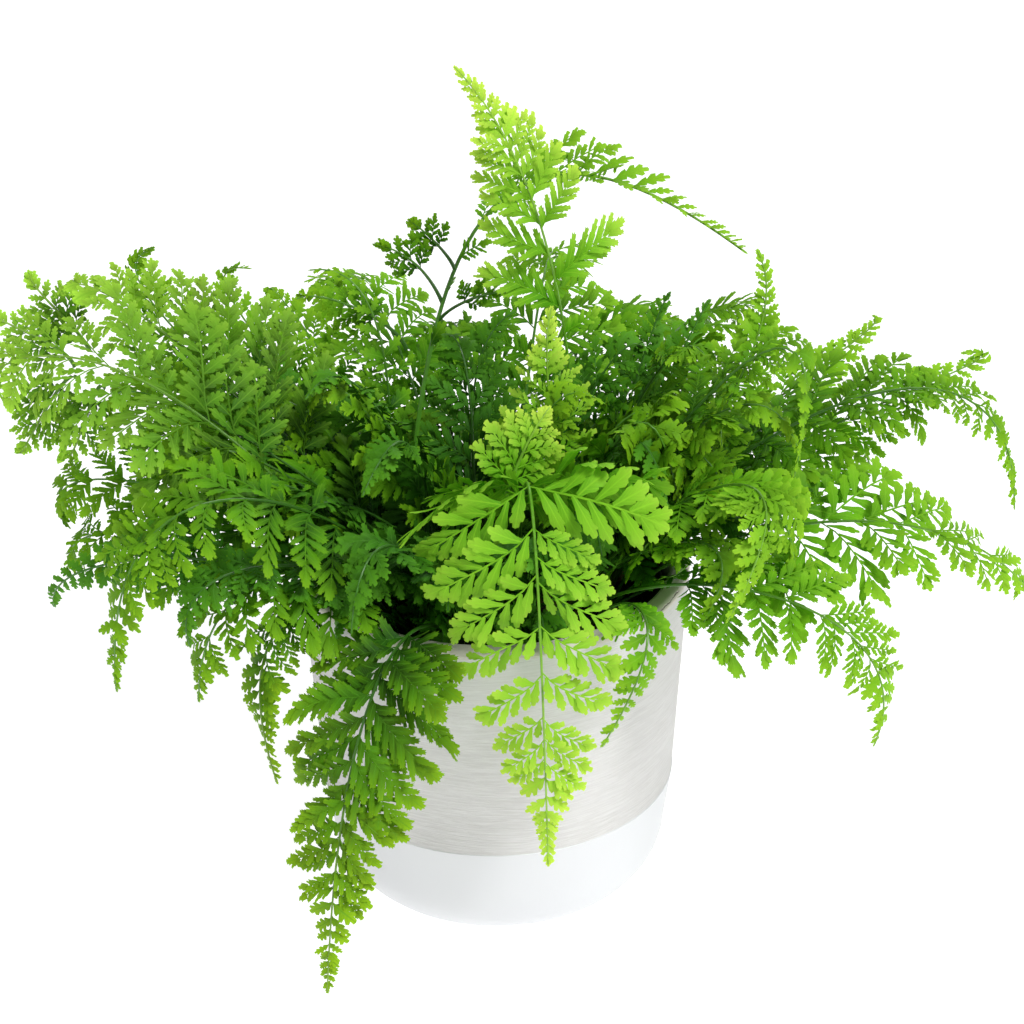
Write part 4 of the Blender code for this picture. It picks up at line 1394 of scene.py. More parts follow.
class FineFrond:
    """The finer piece of one frond: stalk, side stalks and toothed leaflets.

    Steps, shares and sizes say how the leaflets stand along a pinna, in mm and degrees. SIZES
    and the WING tables are (places along the pinna, values there), END_LENGTH and END_WIDTH
    (share of the pinna's length, mm on top), TIP_ANGLE (first angle, how much less at the end).
    """

    STALK_SIDES = 6
    STALK_RINGS = (14, 30)
    STEP_SHARE = 0.44
    LEAST_STEP = 1.2
    FIRST_STEPS = {1: 0.5, -1: 0.9}
    LEAFLETS_END = 0.93
    LEAF_ANGLE = (50.0, 30.0)
    SPAN_SHARE = 0.78
    SIZES = ((0, 0.08, 0.22, 0.4, 0.65, 0.85, 1.0), (0.85, 0.98, 1.0, 0.96, 0.76, 0.50, 0.28))
    SIDE_SIZES = {1: 1.06, -1: 0.97}
    BROADEST = 0.7
    WING = ((0.0, 0.5, 0.85, 1.0), (0.34, 0.30, 0.26, 0.10))
    WING_THICKNESS = ((0.0, 1.0), (0.32, 0.10))
    TOOTHED_FROM = 5.2
    END_PLACE = 0.84
    END_LENGTH = (0.20, 1.5)
    END_WIDTH = (0.10, 1.4)
    WIDEST_GAP = 1.7
    TIP_STEP = 2.9
    TIP_ANGLE = (40.0, 14.0)
    TIP_SPAN = 2.0
    LIGHT = (0.20, -0.84, 0.50)
    LEAST_FACING = 0.05
    TURNED_SHARE = 0.7
    MOST_TURN = 0.55

    def __init__(self, frond: Frond, seed: int, moulds: dict[str, tuple], parts: Parts,
                 habit: Habit = COMMON) -> None:
        """Remember the frond and the piece that it is added to.

        Args:
            frond: The frond's layout.
            seed: Seed of its small chances.
            moulds: Points and triangles of the leaflets.
            parts: The piece that takes its shapes.
            habit: How it sets its pinnae, unless it has a habit of its own.
        """
        self.frond = frond
        self.habit = HABITS.get(frond.name, habit)
        self.surface = Surface(frond)
        self.moulds = moulds
        self.rng = np.random.default_rng(seed)
        self.parts = parts
        self.blade = frond.bare * self.surface.length
        self.reach = GROWTH.blade_end * self.surface.length - self.blade
        self.pinnae = self.cad_pinnae()

    def cad_pinnae(self) -> list[Pinna]:
        """List the pinnae as the CAD lays them out, two at each step.

        Returns:
            The pinnae from the lowest pair to the tip.
        """
        shares = self.surface.shares()
        made = []
        for low, high in zip(shares, shares[1:]):
            shoulder = GROWTH.first_pinna + (1 - GROWTH.first_pinna) * min(1, low / GROWTH.shoulder)
            length = self.surface.half_width * shoulder * (1.0 - low) ** GROWTH.taper
            angle = math.radians(GROWTH.pinna_angle - GROWTH.pinna_closing * low)
            start = self.blade + self.reach * 0.5 * (low + high)
            for hand in (-1, 1):
                made.append(Pinna(start, self.reach * (high - low), angle, length, hand, low))
        return made

    def read_turn(self) -> None:
        """Find the small turn that the CAD gave this frond, and which pinnae it went without."""
        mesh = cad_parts[self.frond.name].data
        corners = np.array([vertex.co[:] for vertex in mesh.vertices]) / MM
        tree = KDTree(len(corners))
        for number, corner in enumerate(corners):
            tree.insert(corner, number)
        tree.balance()
        along = np.array([pinna.length for pinna in self.pinnae])
        ends = [pinna.sheet_place(np.array([length]), np.zeros(1))
                for pinna, length in zip(self.pinnae, along)]
        stops = self.blade + self.reach * np.array(self.surface.shares())
        distance = np.concatenate([stops, *(end[0] for end in ends)])
        across = np.concatenate([np.zeros(len(stops)), *(end[1] for end in ends)])
        marks = self.surface.place(distance, across, np.zeros(len(distance)), turned=False)
        best: tuple | None = None
        for pose in GROWTH.poses():
            matrix = self.surface.pose_matrix(pose)
            moved = self.surface.root + (marks - self.surface.root) @ matrix.T
            gaps = np.array([tree.find(mark)[2] for mark in moved])
            miss = float(np.sort(gaps)[:int(GROWTH.near_share * len(gaps))].mean())
            if best is None or miss < best[0]:
                best = (miss, pose, matrix, gaps)
            if miss < GROWTH.good_fit:
                break
        miss, pose, self.surface.turn, gaps = best
        kept = [pinna for pinna, gap in zip(self.pinnae, gaps[len(stops):])
                if gap < GROWTH.lost_tip]
        LOG.info("%s: turn %s, %.2f mm from the CAD, %d of %d pinnae", self.frond.name, pose, miss,
                 len(kept), len(self.pinnae))
        self.pinnae = kept

    def grown(self, share: np.ndarray, chance: float) -> np.ndarray:
        """Growth map of points: their share of the frond's length, and a chance number."""
        return np.stack([np.clip(share, 0.0, 1.0), np.full(len(share), chance)], axis=1)

    def add_stalk(self) -> None:
        """Draw the frond's own stalk as a six-sided tube from the soil to its tip."""
        surface = self.surface
        bare, leafy = self.STALK_RINGS
        stops = np.concatenate([np.linspace(0.0, self.blade, bare)[:-1],
                                np.linspace(self.blade, surface.length + 1.0, leafy)])
        share = stops / surface.length
        radius = GROWTH.stalk_foot + (GROWTH.stalk_tip - GROWTH.stalk_foot) * share ** 0.8
        radius = radius * self.habit.stoutness
        sides = self.STALK_SIDES
        angles = np.linspace(0, 2 * math.pi, sides, endpoint=False)
        rings = [surface.place(np.full(sides, stop), size * np.cos(angles), size * np.sin(angles))
                 for stop, size in zip(stops, radius)]
        depth = GROWTH.spray_depth if self.frond.start else GROWTH.stalk_depth
        rings.insert(0, rings[0] - (0, 0, depth))
        points = np.concatenate(rings)
        share = np.concatenate([[0.0], share])
        if self.frond.start:
            share = 0.4 + 0.6 * share
        growth = self.grown(np.repeat(share, sides), 0.5)
        self.parts.add(points, tube_triangles(len(rings), sides), 1, None, growth)

    def add_side_stalk(self, pinna: Pinna, bend: Bend) -> None:
        """Draw a pinna's stalk: a flat lens, wider on a long pinna and thinner to its tip.

        Args:
            pinna: The pinna.
            bend: Its own bend.
        """
        shares = np.linspace(0.0, 1.0, 7)
        wing = np.interp(shares, *self.WING) * (0.6 + pinna.length / 90)
        thick = np.interp(shares, *self.WING_THICKNESS)
        angles = np.radians((0, 90, 180, 270))
        along = np.repeat(shares * pinna.length, 4)
        off = np.outer(wing, np.cos(angles)).ravel()
        lift = np.outer(thick, np.sin(angles)).ravel()
        points = self.bent(pinna, bend, along, off, lift)
        share = self.growth_share(pinna, along)
        leaflet = np.stack([0.2 + 0.5 * along / pinna.length, np.full(len(along), 0.46)], axis=1)
        self.parts.add(points, tube_triangles(len(shares), 4), 0, leaflet,
                       self.grown(share, bend.chance))

    def growth_share(self, pinna: Pinna, along: np.ndarray) -> np.ndarray:
        """How young the growth is at points along a pinna, least near the frond's middle; the
        blade's painted shade also follows it, darker where it is low.
        """
        base = 0.15 + 0.75 * pinna.share
        outer = along / max(pinna.length, 1.0)
        return base + (1.0 - base) * self.habit.end_youth * outer ** 1.5

    def bent(self, pinna: Pinna, bend: Bend, along: np.ndarray, off: np.ndarray,
             lift: np.ndarray) -> np.ndarray:
        """Points of a pinna after its own small bow, tilt and droop."""
        share = along / pinna.length
        bowed = off + bend.bow * pinna.length * share * (1.0 - share)
        distance, across = pinna.sheet_place(along, bowed)
        height = lift + bend.tilt * along - bend.droop * pinna.length * share ** 2
        height = height + bend.fold * np.abs(off) + bend.roll * off * np.clip(share * 3, 0, 1)
        return self.surface.place(distance, across, height)

    def add_leaflet(self, pinna: Pinna, bend: Bend, spot: Spot) -> None:
        """Copy a leaflet on to a pinna.

        Args:
            pinna: The pinna that carries it.
            bend: The pinna's own bend.
            spot: The leaflet's place, angle and size.
        """
        if spot.length < self.TOOTHED_FROM:
            small = "small_oblong" if self.habit.shape == "oblong" else "small_wedge"
            points, triangles = self.moulds[small]
        else:
            lobed = spot.fused or spot.length > self.habit.lobed_from
            points, triangles = self.moulds["lobed" if lobed else self.habit.shape]
        x, y, z = points.T
        out = x * spot.length
        aside = y * spot.width * spot.side
        cos, sin = math.cos(spot.angle), math.sin(spot.angle) * spot.side
        along = spot.along + out * cos - aside * sin
        off = out * sin + aside * cos
        curl = spot.curl * spot.length * x ** 2 + spot.twist * aside + spot.tilt * out
        lift = z * spot.width + curl
        placed = self.bent(pinna, bend, along, off, lift)
        share = self.growth_share(pinna, np.clip(along, 0, pinna.length)) + 0.12 * x ** 2
        leaflet = np.stack([x, y + 0.5], axis=1)
        chance = float(np.clip(bend.chance + self.rng.normal(0, 0.15), 0, 1))
        if not GROWTH.in_wall(placed):
            self.parts.add(placed, triangles, 0, leaflet, self.grown(share, chance))

    def turn_to_light(self, pinna: Pinna) -> float:
        """Turn a pinna some way about its stalk to face the light.

        Args:
            pinna: The pinna.

        Returns:
            Its roll, as a slope.
        """
        surface, light = self.surface, unit(np.array(self.LIGHT))
        side, face = (surface.sample(rows, np.array([pinna.start]))[0] @ surface.turn.T
                      for rows in (surface.sides, surface.faces))
        along = np.cross(face, side)
        off = math.sin(pinna.angle) * along - pinna.hand * math.cos(pinna.angle) * side
        facing = face @ light
        wanted = -(off @ light) / (math.copysign(max(abs(facing), self.LEAST_FACING), facing))
        return float(np.clip(self.TURNED_SHARE * wanted, -self.MOST_TURN, self.MOST_TURN))

    def own_bend(self, pinna: Pinna) -> Bend:
        """A pinna's own small bend."""
        rng, unrest = self.rng, self.habit.unrest
        raised = self.habit.raised * float(np.clip(4.0 * pinna.share - 1.0, 0.0, 1.0))
        return Bend(rng.normal(0, 0.10 * unrest), rng.normal(raised, 0.14 * unrest),
                    rng.uniform(0.0, 0.2), rng.normal(0.02, 0.10),
                    self.turn_to_light(pinna) + rng.normal(0.0, 0.18 * unrest), rng.random())

    def dress(self, pinna: Pinna, bend: Bend) -> None:
        """Set leaflets along both sides of a pinna and one at its end.

        Args:
            pinna: The pinna; a short one is a single lobed leaflet.
            bend: Its own bend.
        """
        rng = self.rng
        length = pinna.length
        if length < self.habit.feathered_from:
            width = self.habit.fused_width * rng.uniform(0.9, 1.1) * length
            self.add_leaflet(pinna, bend, Spot(0.0, 0.0, length, width, 1, rng.normal(0, 0.1),
                                               rng.normal(0, 0.1), -0.05, fused=True))
            return
        level = np.zeros(9)
        if GROWTH.in_wall(self.bent(pinna, bend, np.linspace(0, length, len(level)), level, level)):
            return
        self.add_side_stalk(pinna, bend)
        spacing = pinna.span * math.sin(pinna.angle)
        half = max(min(self.habit.width_share * length, self.SPAN_SHARE * spacing),
                   self.habit.least_width * length)
        step = self.STEP_SHARE * half + self.LEAST_STEP
        for side in (1, -1):
            along = step * self.FIRST_STEPS[side]
            while along < self.LEAFLETS_END * length:
                share = along / length
                envelope = np.interp(share, *self.SIZES)
                angle = math.radians(np.interp(share, (0, 1), self.LEAF_ANGLE)
                                     + rng.normal(0, 4.0))
                size = half * envelope / math.sin(angle) * self.SIDE_SIZES[side]
                size *= rng.uniform(0.88, 1.10)
                width = min(self.habit.overlap * step * math.sin(angle), self.BROADEST * size)
                self.add_leaflet(pinna, bend, Spot(
                    along, angle, size, width, side, rng.normal(0, 0.24), rng.normal(0.02, 0.20),
                    rng.normal(-0.10, 0.12)))
                along += step * rng.uniform(0.92, 1.08)
        size, width = (share * length + more for share, more in (self.END_LENGTH, self.END_WIDTH))
        self.add_leaflet(pinna, bend, Spot(self.END_PLACE * length, 0.0, size, width, 1, 0.0, 0.0,
                                           -0.05))

    def opened(self) -> list[Pinna]:
        """Thin the CAD's pinnae where the frond stands open and shorten them where it must.

        Returns:
            The pinnae that are left.
        """
        shares = sorted({pinna.share for pinna in self.pinnae})
        cuts = {(hand, number): share for hand, number, share in self.habit.shortened}
        kept = []
        for pinna in self.pinnae:
            number = shares.index(pinna.share)
            thinned = number % 2 == (1 if pinna.hand > 0 else 0)
            if pinna.share <= self.habit.open_below and thinned and self.habit.open_below:
                continue
            length = pinna.length * cuts.get((pinna.hand, number), self.habit.length_share)
            kept.append(replace(pinna, length=length))
        return kept

    def fill_in(self) -> list[Pinna]:
        """Add pinnae where the CAD's own stand far apart.

        Returns:
            All pinnae of the piece.
        """
        kept = self.opened()
        made = list(kept)
        for hand in (-1, 1):
            row = [pinna for pinna in kept if pinna.hand == hand]
            for near, far in zip(row, row[1:]):
                gap = far.start - near.start
                spacing = gap * math.sin(near.angle)
                far_apart = spacing > self.habit.fill_share * near.length
                above_open = near.share >= self.habit.open_below
                if far_apart and gap < self.WIDEST_GAP * near.span and above_open:
                    made.append(replace(near, start=near.start + 0.5 * gap, span=0.5 * near.span,
                                        length=0.5 * (near.length + far.length),
                                        share=0.5 * (near.share + far.share)))
        return made

    def add_end(self) -> None:
        """Close the frond with a tip of small leaflets that shrink to a point."""
        surface = self.surface
        start, stop = self.blade + self.reach * surface.shares()[-2], surface.length
        steps = max(3, int((stop - start) / self.TIP_STEP))
        first, less = self.TIP_ANGLE
        for number in range(steps):
            share = number / steps
            for hand in (-1, 1):
                size = (4.0 + 0.05 * surface.half_width) * (1.0 - 0.55 * share)
                pinna = Pinna(start + (stop - start) * share, self.TIP_SPAN,
                              math.radians(first - less * share),
                              size * self.rng.uniform(0.9, 1.1), hand, 0.9)
                self.dress(pinna, self.own_bend(pinna))
        forward = Pinna(stop - 3.0, self.TIP_SPAN, 0.0, 5.5, 1, 0.95)
        self.add_leaflet(forward, Bend(0.0, 0.0, 0.0, 0.0, 0.0, 0.7),
                         Spot(0.0, 0.0, 5.5, 2.2, 1, 0.0, 0.0, 0.0))

    def grow(self) -> None:
        """Add the stalk, all pinnae and the tip to the piece."""
        self.add_stalk()
        for pinna in self.fill_in():
            wild = self.habit.unrest ** 2
            angle = pinna.angle + math.radians(self.rng.normal(-self.habit.swept, 2.5 * wild))
            moved = replace(pinna, start=pinna.start + self.rng.normal(0, 0.05) * pinna.span,
                            angle=angle,
                            length=pinna.length * self.rng.uniform(1.0 - 0.08 * wild, 1.04))
            self.dress(moved, self.own_bend(moved))
        self.add_end()


@dataclass(frozen=True)
class Thicket:
    """Many small fronds that fill a part of the crown, set round the pot by the golden ratio.

    Ranges are (least, most): rises and reaches in mm, azimuths in degrees.
    """

    name: str
    count: int
    seed: int
    tone: Tone
    azimuths: tuple[float, float]
    roots: tuple[float, float]
    rises: tuple[float, float]
    reaches: tuple[float, float]
    drops: tuple[float, float]
    widths: tuple[float, float]
    pairs: int
    left_out: tuple[int, ...] = ()
    bare: float = 0.3
    depth_share: float = 0.78
    back_drop: float = 0.55
    golden: float = 0.618

    def fronds(self) -> list[Frond]:
        """Lay its fronds out.

        Returns:
            The fronds, without those that are left out.
        """
        rng = np.random.default_rng(self.seed)
        made = []
        for number in range(self.count):
            azimuth = self.azimuths[0] + (self.azimuths[1] - self.azimuths[0]) * (
                number * self.golden % 1.0)
            radius = rng.uniform(*self.roots)
            foot = GROWTH.ground((azimuth, radius))
            angle = math.radians(azimuth)
            out = np.array([math.cos(angle), self.depth_share * math.sin(angle), 0.0])
            rise, reach = rng.uniform(*self.rises), rng.uniform(*self.reaches)
            rise -= self.back_drop * max(0.0, foot[1] + 0.5 * reach * out[1])
            middle = foot + out * reach * 0.5 + (0, 0, rise)
            tip = foot + out * reach + (0, 0, rise - rng.uniform(*self.drops))
            facing = azimuth + 180.0 + rng.normal(0, 25)
            frond = Frond(f"{self.name}_{number}", (azimuth, radius), tuple(middle), tuple(tip),
                          rng.uniform(*self.widths), self.bare, facing, rng.normal(0, 12),
                          self.pairs, self.tone)
            if number not in self.left_out:
                made.append(frond)
        return made


THICKETS = (
    Thicket("rim_shoots", 15, 4, Tone.DARK, (206, 290), (30, 50), (20, 36), (12, 34), (-6, 8),
            (30, 42), 5),
    Thicket("young_shoots", 24, 5, Tone.DARK, (15, 288), (12, 52), (26, 42), (24, 46), (-8, 10),
            (36, 50), 5, left_out=(2, 4, 7)),
    Thicket("inner_fronds_low", 14, 6, Tone.DARK, (150, 385), (10, 40), (42, 62), (66, 100),
            (-2, 26), (54, 72), 7, left_out=(6,)),
    Thicket("inner_fronds_right", 8, 8, Tone.MID, (-32, 62), (14, 36), (58, 76), (46, 84), (-4, 18),
            (56, 72), 7),
    Thicket("inner_fronds_high", 12, 7, Tone.MID, (-20, 210), (8, 34), (62, 80), (56, 104),
            (-8, 18), (56, 74), 8),
)
# Start, middle, tip, width, bare share, facing, pairs and tone of each side spray.
SPRAY_ROWS = (
    ((-19, 45, 224), (-27, 45, 238), (-43, 42, 249), 24, 0.42, -90, 5, Tone.MID),
    ((-14, 50, 236), (-21, 49, 247), (-30, 48, 256), 20, 0.40, -90, 5, Tone.MID),
    ((-22, 42, 215), (-8, 38, 228), (11, 30, 234), 20, 0.35, -90, 5, Tone.MID),
    ((5, -47, 186), (11, -44, 201), (20, -38, 215), 40, 0.08, -80, 6, Tone.BRIGHT),
    ((-33, 36, 209), (-52, 36, 226), (-73, 34, 231), 26, 0.30, -80, 6, Tone.MID),
    ((-153, 26, 214), (-164, 27, 230), (-173, 28, 244), 28, 0.20, -80, 6, Tone.FRESH),
    ((-158, 20, 210), (-173, 22, 222), (-187, 24, 230), 32, 0.15, -80, 7, Tone.FRESH),
    ((-156, 14, 207), (-170, 12, 194), (-181, 12, 178), 32, 0.15, -80, 7, Tone.FRESH),
    ((-145, 8, 206), (-154, 6, 192), (-163, 6, 180), 28, 0.15, -80, 6, Tone.FRESH),
)
SPRAYS = [Frond(f"spray_{number}", (0, 0), middle, tip, width, bare, facing, 0, pairs, tone, start)
          for number, (start, middle, tip, width, bare, facing, pairs, tone)
          in enumerate(SPRAY_ROWS, 1)]


class Plant:
    """All fronds: one piece for each CAD frond, and one for each thicket of small ones."""

    SPRAY_SEED = 900

    def __init__(self, finishes: Finishes) -> None:
        """Model the leaflets and mix the greens.

        Args:
            finishes: The shared shader groups.
        """
        self.moulds = {name: mould.model() for name, mould in LEAFLETS.items()}
        self.greens = {tone: finish.material(f"fern_{tone.value}", finishes)
                       for tone, finish in LEAF_FINISHES.items()}
        self.stalks = {tone: finish.material(f"stalk_{tone.value}", finishes)
                       for tone, finish in STALK_FINISHES.items()}

    def build(self) -> None:
        """Grow every frond in its own greens."""
        for seed, frond in enumerate(FRONDS, 1):
            parts = Parts()
            fine = FineFrond(frond, seed, self.moulds, parts)
            fine.read_turn()
            fine.grow()
            tone = OTHER_TONES.get(frond.name, frond.tone)
            piece = parts.piece(f"{frond.name}_leaves", [self.greens[tone], self.stalks[tone]])
            join_the_plant(piece, f"frond_{frond.tone.value}", frond.name)
        for thicket in THICKETS:
            self.grow_many(thicket.name, thicket.tone, thicket.fronds(), 1000 * thicket.seed,
                           CLOSED)
        for tone in (Tone.BRIGHT, Tone.FRESH, Tone.MID):
            fronds = [frond for frond in SPRAYS if frond.tone is tone]
            self.grow_many(f"side_sprays_{tone.value}", tone, fronds, self.SPRAY_SEED, SIDE_SPRAY)

    def grow_many(self, name: str, tone: Tone, fronds: list[Frond], seed: int,
                  habit: Habit) -> None:
        """Grow several small fronds as one piece that stands for no CAD node.

        Args:
            name: Name of the piece.
            tone: Its tone.
            fronds: The layouts.
            seed: Seed of the first frond's chances.
            habit: How they set their pinnae.
        """
        parts = Parts()
        for number, frond in enumerate(fronds):
            FineFrond(frond, seed + number, self.moulds, parts, habit).grow()
        green = OTHER_TONES.get(name, tone)
        piece = parts.piece(name, [self.greens[green], self.stalks[green]])
        join_the_plant(piece, f"frond_{tone.value}")


@dataclass(frozen=True)
class Rhizome:
    """A furry creeping rhizome on the mix: a wavy core and a coat of fine slanted hairs."""

    start: float
    end: float
    radius: float = 3.0
    ring: float = 54.0
    wave: float = 2.0
    waves: int = 3
    lift: float = 0.3
    rings: int = 34
    sides: int = 10
    hairs: int = 900
    knots: float = 0.10
    knot_waves: float = 31.0
    uneven: float = 0.03
    hair_length: float = 1.5
    hair_width: float = 0.16
    hair_root: float = 0.9
    hair_lean: float = 0.9
    hair_unrest: float = 0.4
    fur: MottledFinish = MottledFinish((0.10, 0.055, 0.025), (0.42, 0.28, 0.15), 350.0, 1600.0,
                                       0.9, 0.0003)

    def centre(self, share: np.ndarray) -> np.ndarray:
        """Points of the core's centre line at shares of its length."""
        azimuth = np.radians(self.start + (self.end - self.start) * share)
        radius = self.ring + self.wave * np.sin(self.waves * math.pi * share)
        height = GROWTH.soil_top + GROWTH.soil_crown * (1 - (radius / GROWTH.soil_edge) ** 2)
        return np.stack([radius * np.cos(azimuth), radius * np.sin(azimuth),
                         height + self.radius + self.lift], axis=1)

    def build(self, name: str, number: int, finishes: Finishes) -> None:
        """Grow the core and its coat.

        Args:
            name: Name of the CAD node.
            number: Number of the rhizome, which seeds its chances.
            finishes: The shared shader groups.
        """
        rng = np.random.default_rng(100 + number)
        shares = np.linspace(0, 1, self.rings)
        centres = self.centre(shares)
        along = np.gradient(centres, axis=0)
        along /= np.linalg.norm(along, axis=1)[:, None]
        side = np.cross(along, (0, 0, 1))
        side /= np.linalg.norm(side, axis=1)[:, None]
        up = np.cross(side, along)
        swell = (1.0 + self.knots * np.sin(shares * self.knot_waves)
                 + rng.normal(0, self.uneven, self.rings))
        swell *= np.sqrt(np.clip(np.minimum(shares, 1 - shares) * 14 + 0.08, 0, 1))
        angles = np.linspace(0, 2 * math.pi, self.sides, endpoint=False)
        rings = [centre + size * self.radius * (np.outer(np.cos(angles), s)
                                                + np.outer(np.sin(angles), u))
                 for centre, size, s, u in zip(centres, swell, side, up)]
        parts = Parts()
        parts.add(np.concatenate(rings), tube_triangles(self.rings, self.sides))
        for _ in range(self.hairs):
            spot = rng.uniform(0.02, 0.98) * (self.rings - 1)
            ring = int(spot)
            angle = rng.uniform(0, 2 * math.pi)
            out = math.cos(angle) * side[ring] + math.sin(angle) * up[ring]
            foot = (centres[ring] + (spot - ring) * (centres[ring + 1] - centres[ring])
                    + out * self.radius * swell[ring] * self.hair_root)
            lean = unit(out + self.hair_lean * along[ring]
                        + self.hair_unrest * rng.normal(size=3))
            length = self.hair_length * rng.uniform(0.5, 1.0)
            across = unit(np.cross(lean, out + 0.01))
            third = np.cross(lean, across)
            base = [foot + self.hair_width * v for v in
                    (across, -0.5 * across + 0.87 * third, -0.5 * across - 0.87 * third)]
            parts.add(np.array([*base, foot + lean * length]),
                      np.array([(0, 2, 1), (0, 1, 3), (1, 2, 3), (2, 0, 3)]))
        piece = parts.piece(f"{name}_fur", [self.fur.material(f"{name}_fur", finishes)])
        join_the_plant(piece, "rhizome", name)


@dataclass(frozen=True)
class Lamp:
    """A soft square light: its place and size in metres and its power in watts."""

    place: Point
    size: float
    power: float


@dataclass(frozen=True)
class Studio:
    """The pale floor, the soft lights and the photograph's camera.

    The floor and the lights are in metres, the camera's aim and distance in mm.
    """

    aim: Point = (6.9, 0.0, 156.0)
    distance: float = 856.0
    elevation: float = 26.3
    roll: float = -0.7
    focal_pixels: float = 2246.0
    frame_pixels: float = 1024.0
    sensor: float = 36.0
    farthest: float = 30.0
    floor_radius: float = 6.0
    floor_inset: float = 0.5
    floor_low: Colour = (0.54, 0.54, 0.54)
    floor_high: Colour = (0.57, 0.57, 0.57)
    floor_cloud_scale: float = 1.2
    floor_roughness: float = 0.9
    floor_gloss: float = 0.1
    floor_glow: float = 0.76
    room_light: float = 0.30
    lit_point: Point = (0.0, 0.0, 0.15)

    LAMPS = {
        "key": Lamp((0.9, -1.1, 1.9), 0.6, 37.0),
        "fill": Lamp((-1.6, -0.9, 1.1), 1.5, 4.0),
        "rim": Lamp((0.2, 1.7, 1.5), 1.2, 9.0),
        "side": Lamp((1.7, 0.35, 0.7), 0.8, 6.5),
    }

    def add_floor(self, finishes: Finishes) -> None:
        """Lay a wide round floor that glows a little, to stay white in the picture.

        Args:
            finishes: The shared shader groups.
        """
        deselect_all()
        bpy.ops.mesh.primitive_circle_add(vertices=96, radius=self.floor_radius, fill_type="NGON",
                                          location=(0, 0, 0))
        floor = bpy.context.object
        floor.name = "floor"
        edit_all()
        bpy.ops.mesh.inset(thickness=self.floor_inset)
        bpy.ops.object.mode_set(mode="OBJECT")
        material, nodes, skin = finishes.start("pale_floor")
        clouds = nodes.noise(nodes.place(), self.floor_cloud_scale, 2.0)
        nodes.link(nodes.mix(clouds, (*self.floor_low, 1.0), (*self.floor_high, 1.0)),
                   skin.inputs["Base Color"])
        for label, value in (("Roughness", self.floor_roughness),
                             ("Specular IOR Level", self.floor_gloss),
                             ("Emission Color", (1.0, 1.0, 1.0, 1.0)),
                             ("Emission Strength", self.floor_glow)):
            skin.inputs[label].default_value = value
        floor.data.materials.append(material)

    def add_light(self, name: str, lamp: Lamp) -> None:
        """Add one light that faces the plant.

        Args:
            name: Name of the light.
            lamp: Its place, size and power.
        """
        data = bpy.data.lights.new(name, "AREA")
        data.shape = "SQUARE"
        data.size = lamp.size
        data.energy = lamp.power
        light = bpy.data.objects.new(name, data)
        bpy.context.scene.collection.objects.link(light)
        light.location = lamp.place
        aim = Vector(self.lit_point) - light.location
        light.rotation_mode = "QUATERNION"
        light.rotation_quaternion = aim.to_track_quat("-Z", "Y")

    def add_camera(self) -> None:
        """Set the camera where the photograph was taken from."""
        data = bpy.data.cameras.new("camera")
        data.sensor_width = self.sensor
        data.lens = self.focal_pixels * self.sensor / self.frame_pixels
        data.clip_end = self.farthest
        camera = bpy.data.objects.new("camera", data)
        bpy.context.scene.collection.objects.link(camera)
        lift = math.radians(self.elevation)
        back = Vector((0, -math.cos(lift), math.sin(lift)))
        camera.location = (Vector(self.aim) + back * self.distance) * MM
        level = Vector((1, 0, 0))
        up = back.cross(level)
        roll = math.radians(self.roll)
        right = math.cos(roll) * level + math.sin(roll) * up
        top = math.cos(roll) * up - math.sin(roll) * level
        turn = np.array([right, top, back]).T
        camera.rotation_mode = "QUATERNION"
        camera.rotation_quaternion = Matrix(turn.tolist()).to_quaternion()
        bpy.context.scene.camera = camera

    def build(self, finishes: Finishes) -> None:
        """Set the floor, lights, white surroundings, camera and plain colour rendering.

        Args:
            finishes: The shared shader groups.
        """
        self.add_floor(finishes)
        for name, lamp in self.LAMPS.items():
            self.add_light(name, lamp)
        world = bpy.data.worlds.new("white_room")
        world.use_nodes = True
        background = world.node_tree.nodes["Background"]
        background.inputs["Color"].default_value = (1.0, 1.0, 1.0, 1.0)
        background.inputs["Strength"].default_value = self.room_light
        bpy.context.scene.world = world
        bpy.context.scene.view_settings.view_transform = "Standard"
        self.add_camera()


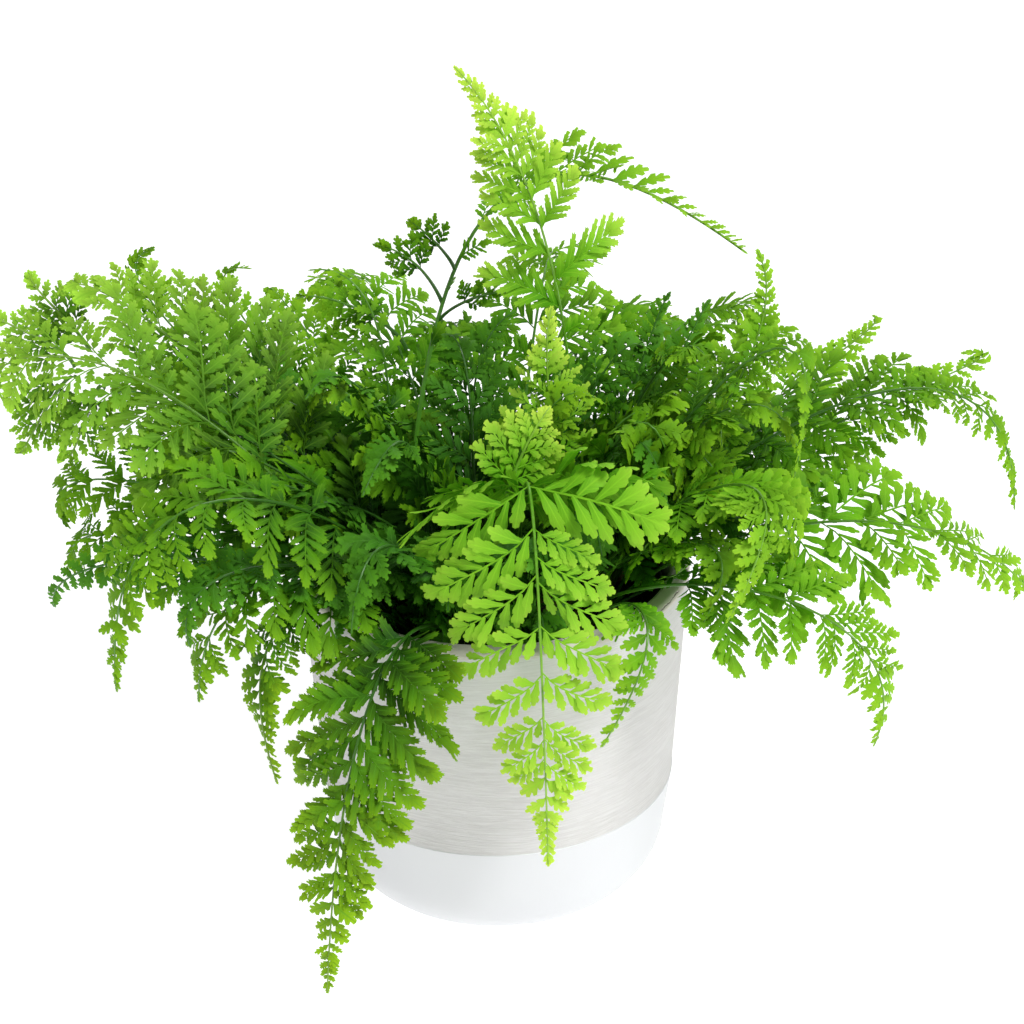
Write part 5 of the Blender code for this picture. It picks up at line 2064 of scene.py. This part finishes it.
OTHER_TONES = {"left_1": Tone.PALE, "left_2": Tone.PALE, "left_9": Tone.MID, "left_3": Tone.MID,
               "tall_2": Tone.FRESH, "right_5": Tone.FRESH, "right_7": Tone.FRESH,
               "right_4": Tone.MID, "front_1": Tone.DEEP, "left_12": Tone.DEEP,
               "tall_4": Tone.BRIGHT, "side_sprays_fresh": Tone.PALE}
LEAF_FINISHES = {
    Tone.BRIGHT: LeafFinish((0.090, 0.400, 0.003), (0.195, 0.595, 0.008), (0.680, 0.860, 0.110),
                            (0.40, 0.80, 0.04), 0.30),
    Tone.PALE: LeafFinish((0.012, 0.090, 0.002), (0.060, 0.290, 0.003), (0.540, 0.850, 0.080),
                          (0.25, 0.55, 0.04), 0.28),
    Tone.FRESH: LeafFinish((0.026, 0.170, 0.002), (0.120, 0.440, 0.003), (0.370, 0.670, 0.030),
                           (0.27, 0.58, 0.03), 0.26),
    Tone.MID: LeafFinish((0.011, 0.092, 0.002), (0.062, 0.300, 0.002), (0.280, 0.560, 0.014),
                         (0.17, 0.44, 0.02), 0.22),
    Tone.DEEP: LeafFinish((0.006, 0.060, 0.002), (0.034, 0.220, 0.002), (0.360, 0.620, 0.012),
                          (0.11, 0.36, 0.02), 0.20),
    Tone.DARK: LeafFinish((0.005, 0.044, 0.002), (0.022, 0.152, 0.005), (0.110, 0.350, 0.012),
                          (0.09, 0.29, 0.03), 0.16),
}
STALK_FINISHES = {
    Tone.BRIGHT: StalkFinish((0.12, 0.36, 0.012), (0.32, 0.60, 0.05)),
    Tone.PALE: StalkFinish((0.09, 0.25, 0.012), (0.28, 0.50, 0.05)),
    Tone.FRESH: StalkFinish((0.06, 0.22, 0.008), (0.20, 0.44, 0.03)),
    Tone.MID: StalkFinish((0.030, 0.13, 0.006), (0.12, 0.34, 0.02)),
    Tone.DEEP: StalkFinish((0.030, 0.13, 0.006), (0.20, 0.38, 0.02)),
    Tone.DARK: StalkFinish((0.018, 0.085, 0.006), (0.06, 0.22, 0.02)),
}
RHIZOMES = ((20, 95), (135, 228), (262, 338))


def main() -> None:
    """Build the pot, what is in it, the fronds and the studio."""
    logging.basicConfig(level=logging.INFO, format="%(message)s")
    finishes = Finishes()
    CeramicPot().build(finishes)
    NurseryPot().build(finishes)
    PottingMix().build(finishes)
    for number, (start, end) in enumerate(RHIZOMES, 1):
        Rhizome(start, end).build(f"rhizome_{number}", number, finishes)
    Plant(finishes).build()
    Studio().build(finishes)


if __name__ == "__main__":
    main()
